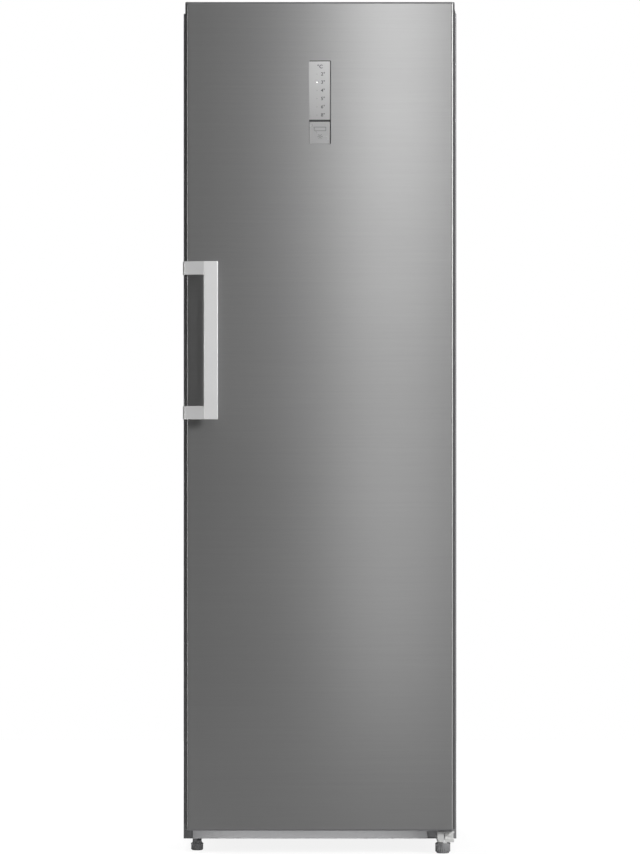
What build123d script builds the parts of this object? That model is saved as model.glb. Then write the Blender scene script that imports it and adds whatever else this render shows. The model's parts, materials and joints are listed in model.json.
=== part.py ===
from build123d import *
import os

os.makedirs("parts", exist_ok=True)

# A tall single-door larder refrigerator, in millimetres. Its front faces -Y and +X is on the
# right of someone who faces the door. The origin lies under the middle of its overall box.

# Cabinet
cabinet_width = 595
cabinet_height = 1799
cabinet_depth = 578
floor_gap = 28.5
steel_sheet = 1
cabinet_edge_round = 2
flange_width = 40
flange_round = 3

# Insulated walls, from outer face to inner face
side_wall = 50
rear_wall = 60
top_wall = 60
bottom_wall = 65
liner_sheet = 1.5
liner_round = 12

# Compressor bay at the rear foot of the cabinet
bay_height = 230
bay_depth = 190
bay_wall = 50

# Door
door_reveal = 6
door_thickness = 60
door_rise = 17.5
door_floor_gap = 53
door_edge_round = 8
gasket_gap = 12
cap_lip = 4
cap_wall = 2.5
cap_skirt = 14
cap_edge_round = 1.5

# Door hinge line, from the hinge side and the front face of the door
hinge_edge = 14
hinge_setback = 30
pin_radius = 4
pin_depth = 16
pin_clearance = 0.1
hinge_plate = 4

# Door liner, its raised frame and the seal
ridge_inset = 14
ridge_width = 25
ridge_height = 40
ridge_round = 8
seal_margin = 3.5
seal_width = 20
seal_clearance = 0.3

# Balconies that hang in the door
balcony_count = 5
balcony_first = 142
top_balcony_room = 345.5
balcony_reach = 100
balcony_height = 86
bottle_balcony_height = 118
balcony_wall = 3
balcony_round = 14
hook_drop = 14
hook_length = 32
hook_reach = 6
lug_height = 18
hook_wall = 4
hook_clearance = 0.3

# Handle
handle_reach = 45
handle_height = 340
handle_above_floor = 942.5
handle_bar_width = 30
handle_bar_depth = 12
handle_bar_inset = 41.7
handle_arm_height = 28.5
handle_plate = 4
handle_wrap = 40
handle_shoulder = 33.5

# Control panel in the door
panel_width = 47
panel_height = 180.5
panel_below_top = 127
panel_recess = 2.5
panel_corner = 2
key_height = 49
key_travel = 0.8
key_gap = 0.4
groove_width = 4
tub_depth = 22
tub_wall = 3
window_thickness = 2.5
board_thickness = 1.6

# Shelves
shelf_count = 5
shelf_first = 690
top_shelf_room = 317.5
rack_level = 500
crisper_cover_rise = 5
glass_thickness = 4
shelf_side_gap = 3
ledge_width = 10
ledge_height = 6
trim_depth = 14
trim_height = 13
trim_below = 4.5

# Crisper drawers
drawer_wall = 3
drawer_height = 200
drawer_side_gap = 6
drawer_middle_gap = 6
drawer_back_gap = 8
drawer_round = 10
glide_height = 3.2
glide_clearance = 0.3
front_clearance = 10

# Feet and rollers
foot_inset = 28.5
left_foot_setback = 106
right_foot_setback = 49
right_foot_inset = 30.5
stem_radius = 5
stem_clearance = 0.1
roller_radius = 13.5
roller_width = 18
roller_spread = 230
roller_setback = 45
axle_radius = 2.5
axle_clearance = 0.1
ear_thickness = 2
ear_clearance = 0.5

# Planes and outlines that the pieces share
cabinet_half = cabinet_width / 2
door_half = cabinet_half - door_reveal
total_depth = handle_reach + door_thickness + gasket_gap + cabinet_depth
back_y = total_depth / 2
cabinet_front = back_y - cabinet_depth
door_back = cabinet_front - gasket_gap
door_front = door_back - door_thickness
handle_front = door_front - handle_reach
cabinet_bottom = floor_gap
cabinet_top = cabinet_bottom + cabinet_height
door_bottom = door_floor_gap
door_top = cabinet_top + door_rise
sheet_half = cabinet_half - steel_sheet
skin_back = door_back - liner_sheet

inside_half = cabinet_half - side_wall
inside_back = back_y - rear_wall
inside_top = cabinet_top - top_wall
inside_floor = cabinet_bottom + bottom_wall
bay_front = back_y - bay_depth
bay_top = cabinet_bottom + bay_height
bay_roof = bay_top - steel_sheet
step_front = bay_front - bay_wall
step_top = bay_top + bay_wall

hinge_x = door_half - hinge_edge
hinge_y = door_front + hinge_setback

balcony_back = door_back + balcony_reach
drawer_front = balcony_back + front_clearance
shelf_front = drawer_front + 4
shelf_back = inside_back - 20
crisper_level = step_top + crisper_cover_rise
shelf_pitch = (inside_top - top_shelf_room - shelf_first) / (shelf_count - 1)
shelf_levels = [shelf_first + number * shelf_pitch for number in range(shelf_count)]
balcony_pitch = (inside_top - top_balcony_room - balcony_first) / (balcony_count - 1)
balcony_levels = [balcony_first + number * balcony_pitch for number in range(balcony_count)]

UP, DOWN = (0, 0, 1), (0, 0, -1)
RIGHT, LEFT = (1, 0, 0), (-1, 0, 0)
BACK, FRONT = (0, 1, 0), (0, -1, 0)


def block(x_span, y_span, z_span, mode=Mode.ADD):
    """Add a box between two corners to the part being built, or cut one from it."""
    spans = [sorted(span) for span in (x_span, y_span, z_span)]
    with Locations(tuple((low + high) / 2 for low, high in spans)):
        Box(*(high - low for low, high in spans), mode=mode)


def rod(start, direction, length, radius, mode=Mode.ADD):
    """Add or cut a round rod that runs from a point in a direction."""
    with BuildSketch(Plane(origin=start, z_dir=direction)) as end:
        Circle(radius)
    extrude(end.sketch, amount=length, mode=mode)


def upright(y):
    """The plane of the front view at one depth. A negative extrude runs backwards."""
    return Plane.XZ.offset(-y)


def window(outline, mode=Mode.ADD):
    """Draw an outline of (half width, bottom, top, corner radius) in the open sketch."""
    half, low, high, corner = outline
    with Locations((0, (low + high) / 2)):
        RectangleRounded(2 * half, high - low, corner, mode=mode)


def grown(outline, amount, corner):
    """The outline let out by an amount on every side, with a corner radius of its own."""
    half, low, high, _ = outline
    return (half + amount, low - amount, high + amount, corner)


def frame_ring(outer, inner, front, back, mode=Mode.ADD):
    """Add or cut an upright frame between two outlines."""
    with BuildSketch(upright(front)) as face:
        window(outer)
        window(inner, mode=Mode.SUBTRACT)
    extrude(face.sketch, amount=front - back, mode=mode)


room_opening = (inside_half, inside_floor, inside_top, liner_round)
steel_opening = (
    cabinet_half - flange_width,
    cabinet_bottom + flange_width,
    cabinet_top - flange_width,
    flange_round,
)
ridge_outline = grown(room_opening, -ridge_inset, 20)
ridge_inner = grown(ridge_outline, -ridge_width, 10)
ridge_inner_half = ridge_inner[0]


# Hinge screws: a group of equal screws that hold both hinges to the cabinet
screw_radius = 2
screw_length = 16
screw_head_radius = 4
screw_head_height = 2.4
top_hinge_plate = 3
hinge_washer = 3
tongue_top = door_bottom - hinge_washer
tongue_bottom = tongue_top - hinge_plate
bracket_left = hinge_x - 23
bracket_right = hinge_x + 13.5
bottom_screw_z = (cabinet_bottom + tongue_bottom) / 2
top_screw_places = [
    (hinge_x - 26, cabinet_front + 22),
    (hinge_x - 26, cabinet_front + 46),
    (hinge_x + 2, cabinet_front + 46),
]
bottom_screw_places = [(hinge_x + shift, bottom_screw_z) for shift in (-16, -5, 6)]


def screw(seat, direction):
    """Add a screw whose head stands on a seat and whose shank runs in a direction."""
    head = tuple(place - step * screw_head_height for place, step in zip(seat, direction))
    rod(head, direction, screw_head_height, screw_head_radius)
    rod(seat, direction, screw_length, screw_radius)


with BuildPart() as hinge_screws:
    for x, y in top_screw_places:
        screw((x, y, cabinet_top + top_hinge_plate), DOWN)
    for x, z in bottom_screw_places:
        screw((x, cabinet_front - hinge_plate, z), BACK)
hinge_screws.part.label = "hinge_screws"
export_step(hinge_screws.part, "parts/hinge_screws.step")


# Outer steel wrapper with its folded front flange
with BuildPart() as cabinet_shell:
    block((-cabinet_half, cabinet_half), (cabinet_front, back_y), (cabinet_bottom, cabinet_top))
    side_corners = cabinet_shell.edges().filter_by(Axis.Z).group_by(Axis.Y)[0]
    top_corners = cabinet_shell.edges().filter_by(Axis.Y).group_by(Axis.Z)[-1]
    fillet(side_corners + top_corners, cabinet_edge_round)
    block(
        (-sheet_half, sheet_half),
        (cabinet_front + steel_sheet, back_y),
        (cabinet_bottom, cabinet_top - steel_sheet),
        mode=Mode.SUBTRACT,
    )
    with BuildSketch(upright(cabinet_front)) as front_cut:
        window(steel_opening)
    extrude(amount=-steel_sheet, mode=Mode.SUBTRACT)
    add(hinge_screws.part, mode=Mode.SUBTRACT)
cabinet_shell.part.label = "cabinet_shell"
export_step(cabinet_shell.part, "parts/cabinet_shell.step")


# Flat steel back
with BuildPart() as back_panel:
    block((-sheet_half, sheet_half), (back_y - steel_sheet, back_y), (bay_top, cabinet_top - steel_sheet))
back_panel.part.label = "back_panel"
export_step(back_panel.part, "parts/back_panel.step")


# Stepped steel pan under the insulation, with the threaded boss of the left foot
left_foot_x = -(cabinet_half - foot_inset)
left_foot_y = door_front + left_foot_setback
foot_boss_height = 20
foot_boss_radius = 9

with BuildPart() as base_pan:
    with BuildSketch(Plane.YZ):
        with BuildLine():
            Polyline(
                (cabinet_front + steel_sheet, cabinet_bottom),
                (bay_front, cabinet_bottom),
                (bay_front, bay_roof),
                (back_y, bay_roof),
                (back_y, bay_top),
                (bay_front - steel_sheet, bay_top),
                (bay_front - steel_sheet, cabinet_bottom + steel_sheet),
                (cabinet_front + steel_sheet, cabinet_bottom + steel_sheet),
                close=True,
            )
        make_face()
    extrude(amount=sheet_half, both=True)
    rod((left_foot_x, left_foot_y, cabinet_bottom), UP, foot_boss_height, foot_boss_radius)
    rod(
        (left_foot_x, left_foot_y, cabinet_bottom),
        UP,
        foot_boss_height,
        stem_radius + stem_clearance,
        mode=Mode.SUBTRACT,
    )

# The drain hole through the pan, the foam and the step of the liner
compressor_x = 60
compressor_y = bay_front + 93
drain_radius = 9
drain_wall = 2
drain_drop = 18
drain_y = inside_back - 25
with BuildPart() as drain_bore:
    rod((compressor_x, drain_y, bay_roof), UP, step_top - bay_roof, drain_radius)
with BuildPart() as drain_tube:
    rod((compressor_x, drain_y, step_top), DOWN, step_top - bay_roof + drain_drop, drain_radius)
    rod(
        (compressor_x, drain_y, step_top),
        DOWN,
        step_top - bay_roof + drain_drop,
        drain_radius - drain_wall,
        mode=Mode.SUBTRACT,
    )
drain_tube.part.label = "drain_tube"
export_step(drain_tube.part, "parts/drain_tube.step")

with base_pan:
    add(drain_bore.part, mode=Mode.SUBTRACT)
base_pan.part.label = "base_pan"
export_step(base_pan.part, "parts/base_pan.step")


# Inside room, and the plastic liner round it
def stepped_room(grow):
    """The inside room, let out by a wall on every side but its open front."""
    nose = Vector(0, step_front + grow, step_top - grow)
    with BuildPart() as room:
        with BuildSketch(Plane.YZ):
            with BuildLine():
                Polyline(
                    (cabinet_front, inside_floor - grow),
                    (step_front + grow, inside_floor - grow),
                    (nose.Y, nose.Z),
                    (inside_back + grow, step_top - grow),
                    (inside_back + grow, inside_top + grow),
                    (cabinet_front, inside_top + grow),
                    close=True,
                )
            make_face()
        extrude(amount=inside_half + grow, both=True)
        fillet(room.edges().sort_by_distance(nose)[0], liner_round - grow)
        closed = room.edges().filter_by(lambda edge: edge.center().Y > cabinet_front + 1)
        sharp = closed.filter_by(GeomType.LINE)
        fillet(
            sharp.filter_by(lambda edge: (edge.center() - nose).length > 2 * liner_round),
            liner_round + grow,
        )
    return room


inside_room = stepped_room(0)
liner_outside = stepped_room(liner_sheet)

glide_places = [sign * (inside_half * share) for sign in (-1, 1) for share in (0.2, 0.8)]
glide_width = 5

with BuildPart() as inner_liner:
    add(liner_outside.part)
    add(inside_room.part, mode=Mode.SUBTRACT)
    frame_ring(steel_opening, room_opening, cabinet_front, cabinet_front + liner_sheet)
    for level in [rack_level, crisper_level] + shelf_levels:
        for side in (-1, 1):
            block(
                (side * (inside_half - ledge_width), side * (inside_half + liner_sheet / 2)),
                (shelf_front, shelf_back),
                (level - ledge_height, level),
            )
    for x in glide_places:
        block(
            (x - glide_width / 2, x + glide_width / 2),
            (cabinet_front + liner_round, step_front - liner_round),
            (inside_floor - liner_sheet / 2, inside_floor + glide_height),
        )
    add(drain_bore.part, mode=Mode.SUBTRACT)
inner_liner.part.label = "inner_liner"
export_step(inner_liner.part, "parts/inner_liner.step")


# Heat exchangers: tubes that run to and fro, one behind the liner and one behind the back
def serpentine(x_half, low, high, runs, y, radius):
    """A tube of level runs joined by half turns, in an upright plane."""
    rise = (high - low) / (runs - 1)
    reach = x_half - rise / 2
    with BuildPart() as tube:
        with BuildLine() as route:
            for number in range(runs):
                z = low + number * rise
                side = 1 if number % 2 == 0 else -1
                Line((-side * reach, y, z), (side * reach, y, z))
                if number < runs - 1:
                    ThreePointArc(
                        (side * reach, y, z),
                        (side * x_half, y, z + rise / 2),
                        (side * reach, y, z + rise),
                    )
        with BuildSketch(Plane(origin=route.line @ 0, z_dir=route.line % 0)):
            Circle(radius)
        sweep()
    return tube.part


evaporator_half = 190
evaporator_low = 620
evaporator_high = 1340
evaporator_runs = 11
evaporator_tube = 3.5
evaporator_plate = 1.2
pocket_margin = 6
evaporator_face = inside_back + liner_sheet
evaporator_tube_y = evaporator_face + evaporator_plate + evaporator_tube - 0.4
evaporator_pocket = evaporator_tube_y + evaporator_tube

with BuildPart() as evaporator:
    block(
        (-evaporator_half - pocket_margin, evaporator_half + pocket_margin),
        (evaporator_face, evaporator_face + evaporator_plate),
        (evaporator_low - pocket_margin, evaporator_high + pocket_margin),
    )
    add(
        serpentine(
            evaporator_half,
            evaporator_low,
            evaporator_high,
            evaporator_runs,
            evaporator_tube_y,
            evaporator_tube,
        )
    )
evaporator.part.label = "evaporator"
export_step(evaporator.part, "parts/evaporator.step")

condenser_half = 235
condenser_low = 330
condenser_high = 1690
condenser_runs = 18
condenser_tube = 2.5
condenser_back = back_y - steel_sheet
with BuildPart() as condenser:
    add(
        serpentine(
            condenser_half,
            condenser_low,
            condenser_high,
            condenser_runs,
            condenser_back - condenser_tube,
            condenser_tube,
        )
    )
condenser.part.label = "condenser"
export_step(condenser.part, "parts/condenser.step")


# Foam that fills the walls round every piece set into them
with BuildPart() as insulation_foam:
    block(
        (-sheet_half, sheet_half),
        (cabinet_front + steel_sheet, back_y - steel_sheet),
        (cabinet_bottom, cabinet_top - steel_sheet),
    )
    block(
        (-sheet_half, sheet_half),
        (bay_front, back_y),
        (cabinet_bottom, bay_roof),
        mode=Mode.SUBTRACT,
    )
    block(
        (-evaporator_half - pocket_margin, evaporator_half + pocket_margin),
        (inside_back, evaporator_pocket),
        (evaporator_low - pocket_margin, evaporator_high + pocket_margin),
        mode=Mode.SUBTRACT,
    )
    block(
        (-condenser_half - pocket_margin, condenser_half + pocket_margin),
        (condenser_back - 2 * condenser_tube, back_y),
        (condenser_low - pocket_margin, condenser_high + pocket_margin),
        mode=Mode.SUBTRACT,
    )
    rod(
        (left_foot_x, left_foot_y, cabinet_bottom),
        UP,
        foot_boss_height,
        foot_boss_radius,
        mode=Mode.SUBTRACT,
    )
    for neighbour in (inside_room, inner_liner, base_pan, drain_bore, hinge_screws):
        add(neighbour.part, mode=Mode.SUBTRACT)
insulation_foam.part.label = "insulation_foam"
export_step(insulation_foam.part, "parts/insulation_foam.step")


# Silver rail across the foot of the cabinet front, and the dark cap at its hinge end
rail_thickness = 2.5
rail_height = 31.5
rail_left = -(cabinet_half - 20)
rail_right = hinge_x - 43

with BuildPart() as front_rail:
    block(
        (rail_left, rail_right),
        (cabinet_front - rail_thickness, cabinet_front),
        (cabinet_bottom, cabinet_bottom + rail_height),
    )
    front_edges = front_rail.edges().filter_by(Axis.X).group_by(Axis.Y)[0]
    fillet(front_edges, rail_thickness / 3)
front_rail.part.label = "front_rail"
export_step(front_rail.part, "parts/front_rail.step")

end_cap_depth = 24
end_cap_slope = 4
with BuildPart() as hinge_end_cap:
    with BuildSketch(upright(cabinet_front - end_cap_depth)):
        with BuildLine():
            Polyline(
                (rail_right, tongue_top),
                (bracket_left, tongue_top),
                (bracket_left, cabinet_bottom + end_cap_slope),
                (rail_right + end_cap_slope, cabinet_bottom + 2 * end_cap_slope),
                close=True,
            )
        make_face()
    extrude(amount=-end_cap_depth)
hinge_end_cap.part.label = "hinge_end_cap"
export_step(hinge_end_cap.part, "parts/hinge_end_cap.step")


# Lower hinge: a folded bracket with the door's pin and the thread of the right foot
right_foot_x = cabinet_half - right_foot_inset
right_foot_y = door_front + right_foot_setback
tongue_front = hinge_y - 12
apron_thickness = 3
apron_width = 14
apron_tail = 7
foot_plate_reach = 40
bracket_round = 5

with BuildPart() as bottom_hinge:
    block((bracket_left, bracket_right), (tongue_front, cabinet_front), (tongue_bottom, tongue_top))
    block(
        (bracket_left, bracket_right),
        (cabinet_front - hinge_plate, cabinet_front),
        (cabinet_bottom - hinge_plate, tongue_top),
    )
    block(
        (bracket_left, bracket_right),
        (right_foot_y - 3 * stem_radius, cabinet_front + foot_plate_reach),
        (cabinet_bottom - hinge_plate, cabinet_bottom),
    )
    plate_corners = bottom_hinge.edges().filter_by(Axis.Z).group_by(Axis.Y)
    fillet(plate_corners[0] + plate_corners[-1], bracket_round)
    with BuildSketch(upright(tongue_front - apron_thickness)):
        with BuildLine():
            Polyline(
                (bracket_left, tongue_top),
                (bracket_left + apron_width, tongue_top),
                (bracket_left + apron_width, cabinet_bottom + hinge_plate),
                (bracket_left + apron_width + apron_tail, cabinet_bottom - hinge_plate),
                (bracket_left + apron_width, cabinet_bottom - hinge_plate),
                (bracket_left, cabinet_bottom + hinge_plate),
                close=True,
            )
        make_face()
    extrude(amount=-(apron_thickness + bracket_round))
    rod((hinge_x, hinge_y, tongue_top), UP, hinge_washer - hook_clearance, 1.8 * pin_radius)
    rod((hinge_x, hinge_y, tongue_top), UP, hinge_washer + pin_depth - 1, pin_radius)
    rod(
        (right_foot_x, right_foot_y, cabinet_bottom - hinge_plate),
        UP,
        hinge_plate,
        stem_radius + stem_clearance,
        mode=Mode.SUBTRACT,
    )
    add(hinge_screws.part, mode=Mode.SUBTRACT)
bottom_hinge.part.label = "bottom_hinge"
export_step(bottom_hinge.part, "parts/bottom_hinge.step")


# Upper hinge: a flat arm on the cabinet top with a pin that hangs into the door
arm_half = 8
pocket_floor = cabinet_top - 1.5
base_left = hinge_x - 36
base_right = hinge_x + 12
base_front = cabinet_front + 12
base_back = cabinet_front + 56

with BuildPart() as top_hinge:
    block((base_left, base_right), (base_front, base_back), (cabinet_top, cabinet_top + top_hinge_plate))
    fillet(top_hinge.edges().filter_by(Axis.Z), bracket_round)
    block(
        (hinge_x - arm_half, hinge_x + arm_half),
        (hinge_y, base_front + bracket_round),
        (cabinet_top, cabinet_top + top_hinge_plate),
    )
    rod((hinge_x, hinge_y, cabinet_top), UP, top_hinge_plate, arm_half)
    rod((hinge_x, hinge_y, cabinet_top), DOWN, cabinet_top - pocket_floor + pin_depth - 1, pin_radius)
    add(hinge_screws.part, mode=Mode.SUBTRACT)
top_hinge.part.label = "top_hinge"
export_step(top_hinge.part, "parts/top_hinge.step")

cover_height = 13.5
cover_wall = 2
cover_taper = 14
cover_margin = 8
cover_gap = 1
cover_left = base_left - cover_margin
cover_right = cabinet_half - cabinet_edge_round / 2
cover_front = cabinet_front + cover_wall
cover_back = base_back + 3 * cover_margin


def cover_plan(inset):
    """Foot of the hinge cover, drawn in by an inset."""
    with BuildSketch(Plane.XY.offset(cabinet_top)) as plan:
        with Locations(((cover_left + cover_right) / 2, (cover_front + cover_back) / 2)):
            RectangleRounded(
                cover_right - cover_left - 2 * inset,
                cover_back - cover_front - 2 * inset,
                bracket_round - inset,
            )
    return plan.sketch


with BuildPart() as top_hinge_cover:
    extrude(cover_plan(0), amount=cover_height, taper=cover_taper)
    fillet(top_hinge_cover.faces().sort_by(Axis.Z)[-1].edges(), cover_wall / 2)
    extrude(
        cover_plan(cover_wall),
        amount=cover_height - cover_wall,
        taper=cover_taper,
        mode=Mode.SUBTRACT,
    )
    block(
        (hinge_x - arm_half - cover_gap, hinge_x + arm_half + cover_gap),
        (cover_front, cover_front + 3 * cover_wall),
        (cabinet_top, cabinet_top + top_hinge_plate + cover_gap),
        mode=Mode.SUBTRACT,
    )
top_hinge_cover.part.label = "top_hinge_cover"
export_step(top_hinge_cover.part, "parts/top_hinge_cover.step")


# Screw-down feet, each turned round its threaded stem
def foot(x, y, profile, stem_top):
    """A foot from the (radius, height) corners of its pad, with its stem."""
    pad_top = profile[-1][1]
    with BuildPart() as piece:
        with BuildSketch(Plane(origin=(x, y, 0), x_dir=RIGHT, z_dir=FRONT)):
            with BuildLine():
                Polyline(
                    (0, 0),
                    *profile,
                    (stem_radius, pad_top),
                    (stem_radius, stem_top),
                    (0, stem_top),
                    close=True,
                )
            make_face()
        revolve(axis=Axis((x, y, 0), UP))
    return piece


left_foot_profile = [(11, 0), (11.7, 0.8), (13.1, 11.5), (13.3, 13.2), (14.1, 14.2), (9.9, 18), (9.9, 26)]
right_foot_profile = [(13, 0), (14, 1), (14.6, 3), (16.6, 20), (15.6, 22)]

foot_left = foot(left_foot_x, left_foot_y, left_foot_profile, cabinet_bottom + foot_boss_height - 2)
foot_left.part.label = "foot_left"
export_step(foot_left.part, "parts/foot_left.step")

foot_right = foot(right_foot_x, right_foot_y, right_foot_profile, tongue_bottom - 2)
foot_right.part.label = "foot_right"
export_step(foot_right.part, "parts/foot_right.step")


# Rear rollers, their axles and the tray that carries them and the compressor
roller_y = back_y - roller_setback
ear_inner = roller_width / 2 + ear_clearance
ear_outer = ear_inner + ear_thickness
ear_radius = 8
tray_thickness = 2
tray_top = cabinet_bottom + tray_thickness

with BuildPart() as roller_axles:
    for x in (-roller_spread, roller_spread):
        rod((x - ear_outer, roller_y, roller_radius), RIGHT, 2 * ear_outer, axle_radius)
roller_axles.part.label = "roller_axles"
export_step(roller_axles.part, "parts/roller_axles.step")


def roller(x):
    """A rear roller with its bore."""
    with BuildPart() as wheel:
        rod((x - roller_width / 2, roller_y, roller_radius), RIGHT, roller_width, roller_radius)
        fillet(wheel.edges().filter_by(GeomType.CIRCLE), 1.5)
        rod(
            (x - roller_width / 2, roller_y, roller_radius),
            RIGHT,
            roller_width,
            axle_radius + axle_clearance,
            mode=Mode.SUBTRACT,
        )
    return wheel


roller_left = roller(-roller_spread)
roller_left.part.label = "roller_left"
export_step(roller_left.part, "parts/roller_left.step")

roller_right = roller(roller_spread)
roller_right.part.label = "roller_right"
export_step(roller_right.part, "parts/roller_right.step")

with BuildPart() as compressor_tray:
    block((-sheet_half, sheet_half), (bay_front, back_y), (cabinet_bottom, tray_top))
    for x in (-roller_spread, roller_spread):
        for inner, outer in ((-ear_outer, -ear_inner), (ear_inner, ear_outer)):
            block(
                (x + inner, x + outer),
                (roller_y - ear_radius, roller_y + ear_radius),
                (roller_radius, cabinet_bottom),
            )
            rod((x + inner, roller_y, roller_radius), RIGHT, outer - inner, ear_radius)
    add(roller_axles.part, mode=Mode.SUBTRACT)
compressor_tray.part.label = "compressor_tray"
export_step(compressor_tray.part, "parts/compressor_tray.step")


# Compressor on its rubber mounts
mount_height = 20
mount_radius = 11
mount_waist = 8
mount_reach_x = 78
mount_reach_y = 52
saddle_thickness = 3
can_half_x = 98
can_half_y = 70
can_height = 150
can_round_low = 22
can_round_high = 34
seam_height = 62
seam_thickness = 4
seam_margin = 4
saddle_top = tray_top + mount_height + saddle_thickness
can_top = saddle_top + can_height
suction_y, suction_z, suction_radius = compressor_y + 25, saddle_top + 96, 4.5
discharge_y, discharge_z, discharge_radius = compressor_y - 30, saddle_top + 38, 3.5
stub_start = compressor_x - 80
stub_end = compressor_x - 122

with BuildPart() as compressor_mounts:
    with Locations((compressor_x, compressor_y, tray_top)):
        with GridLocations(2 * mount_reach_x, 2 * mount_reach_y, 2, 2):
            Cylinder(mount_waist, mount_height, align=(Align.CENTER, Align.CENTER, Align.MIN))
            Cylinder(mount_radius, 0.4 * mount_height, align=(Align.CENTER, Align.CENTER, Align.MIN))
    with Locations((compressor_x, compressor_y, tray_top + 0.6 * mount_height)):
        with GridLocations(2 * mount_reach_x, 2 * mount_reach_y, 2, 2):
            Cylinder(mount_radius, 0.4 * mount_height, align=(Align.CENTER, Align.CENTER, Align.MIN))
compressor_mounts.part.label = "compressor_mounts"
export_step(compressor_mounts.part, "parts/compressor_mounts.step")

with BuildPart() as compressor:
    with BuildSketch(Plane.XY.offset(saddle_top)):
        with Locations((compressor_x, compressor_y)):
            Ellipse(can_half_x, can_half_y)
    extrude(amount=can_height)
    fillet(compressor.faces().sort_by(Axis.Z)[-1].edges(), can_round_high)
    fillet(compressor.faces().sort_by(Axis.Z)[0].edges(), can_round_low)
    with BuildSketch(Plane.XY.offset(saddle_top + seam_height)):
        with Locations((compressor_x, compressor_y)):
            Ellipse(can_half_x + seam_margin, can_half_y + seam_margin)
    extrude(amount=seam_thickness)
    block(
        (compressor_x - mount_reach_x - mount_radius, compressor_x + mount_reach_x + mount_radius),
        (compressor_y - mount_reach_y - mount_radius, compressor_y + mount_reach_y + mount_radius),
        (saddle_top - saddle_thickness, saddle_top),
    )
    rod((stub_start, suction_y, suction_z), LEFT, stub_start - stub_end, suction_radius)
    rod((stub_start, discharge_y, discharge_z), LEFT, stub_start - stub_end, discharge_radius)
compressor.part.label = "compressor"
export_step(compressor.part, "parts/compressor.step")

relay_half = 26
relay_height = 60
with BuildPart() as start_relay:
    block(
        (compressor_x + can_half_x - 12, compressor_x + can_half_x + 32),
        (compressor_y - relay_half, compressor_y + relay_half),
        (saddle_top + seam_height + 8, saddle_top + seam_height + 8 + relay_height),
    )
    fillet(start_relay.edges().group_by(Axis.X)[-1], 4)
    add(compressor.part, mode=Mode.SUBTRACT)
start_relay.part.label = "start_relay"
export_step(start_relay.part, "parts/start_relay.step")


# Refrigerant lines: suction, discharge, and the capillary with its filter drier
def bent_tube(points, bend, radius):
    """A tube along straight runs that are joined by bends of one radius."""
    with BuildPart() as tube:
        with BuildLine() as route:
            FilletPolyline(*points, radius=bend)
        with BuildSketch(Plane(origin=route.line @ 0, z_dir=route.line % 0)):
            Circle(radius)
        sweep()
    return tube.part


pipe_spacing = 35
suction_x = compressor_x - 180
discharge_x = suction_x - pipe_spacing
drier_x = discharge_x - pipe_spacing
capillary_x = drier_x - 26
drier_low = tray_top + 70
drier_height = 110
drier_radius = 9
capillary_radius = 2

with BuildPart() as refrigerant_pipes:
    add(
        bent_tube(
            [
                (stub_end, suction_y, suction_z),
                (suction_x, suction_y, suction_z),
                (suction_x, suction_y, bay_roof),
            ],
            20,
            suction_radius,
        )
    )
    add(
        bent_tube(
            [
                (stub_end, discharge_y, discharge_z),
                (discharge_x, discharge_y, discharge_z),
                (discharge_x, discharge_y, bay_roof),
            ],
            20,
            discharge_radius,
        )
    )
    add(
        bent_tube(
            [
                (drier_x, compressor_y, drier_low + drier_radius),
                (drier_x, compressor_y, drier_low - 25),
                (capillary_x, compressor_y, drier_low - 25),
                (capillary_x, compressor_y, bay_roof),
            ],
            12,
            capillary_radius,
        )
    )
    rod((drier_x, compressor_y, drier_low), UP, drier_height, drier_radius)
    rod(
        (drier_x, compressor_y, drier_low + drier_height),
        UP,
        bay_roof - drier_low - drier_height,
        capillary_radius,
    )
refrigerant_pipes.part.label = "refrigerant_pipes"
export_step(refrigerant_pipes.part, "parts/refrigerant_pipes.step")

# Open tray on top of the compressor that catches the defrost water
drip_half_x = 80
drip_half_y = 56
drip_height = 24
drip_wall = 2
with BuildPart() as drip_tray:
    block(
        (compressor_x - drip_half_x, compressor_x + drip_half_x),
        (compressor_y - drip_half_y, compressor_y + drip_half_y),
        (can_top, can_top + drip_height),
    )
    fillet(drip_tray.edges().filter_by(Axis.Z), 4 * drip_wall)
    offset(amount=-drip_wall, openings=drip_tray.faces().sort_by(Axis.Z)[-1])
drip_tray.part.label = "drip_tray"
export_step(drip_tray.part, "parts/drip_tray.step")

# Housing of the control electronics
control_box_left = compressor_x + can_half_x + 45
control_box_width = 80
control_box_depth = 100
control_box_height = 140
control_box_front = bay_front + 20
with BuildPart() as control_box:
    block(
        (control_box_left, control_box_left + control_box_width),
        (control_box_front, control_box_front + control_box_depth),
        (tray_top, tray_top + control_box_height),
    )
    fillet(control_box.edges().group_by(Axis.Z)[-1], 4)
control_box.part.label = "control_box"
export_step(control_box.part, "parts/control_box.step")

# Louvred cover of the bay, and the bushing of the power inlet in it
rear_cover_thickness = 3
louvre_width = 90
louvre_height = 6
louvre_pitch_x = 120
louvre_pitch_z = 14
gland_x = -(sheet_half - 50)
gland_z = tray_top + 40
gland_radius = 11
gland_bore = 4.5
gland_flange = 15
gland_flange_thickness = 3
gland_length = 14

with BuildPart() as compressor_cover:
    block((-sheet_half, sheet_half), (back_y - rear_cover_thickness, back_y), (tray_top, bay_roof))
    with BuildSketch(upright(back_y)):
        with Locations((0, (tray_top + bay_roof) / 2 + 20)):
            with GridLocations(louvre_pitch_x, louvre_pitch_z, 4, 9):
                SlotOverall(louvre_width, louvre_height)
    extrude(amount=rear_cover_thickness, mode=Mode.SUBTRACT)
    rod((gland_x, back_y, gland_z), FRONT, rear_cover_thickness, gland_radius, mode=Mode.SUBTRACT)
compressor_cover.part.label = "compressor_cover"
export_step(compressor_cover.part, "parts/compressor_cover.step")

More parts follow.
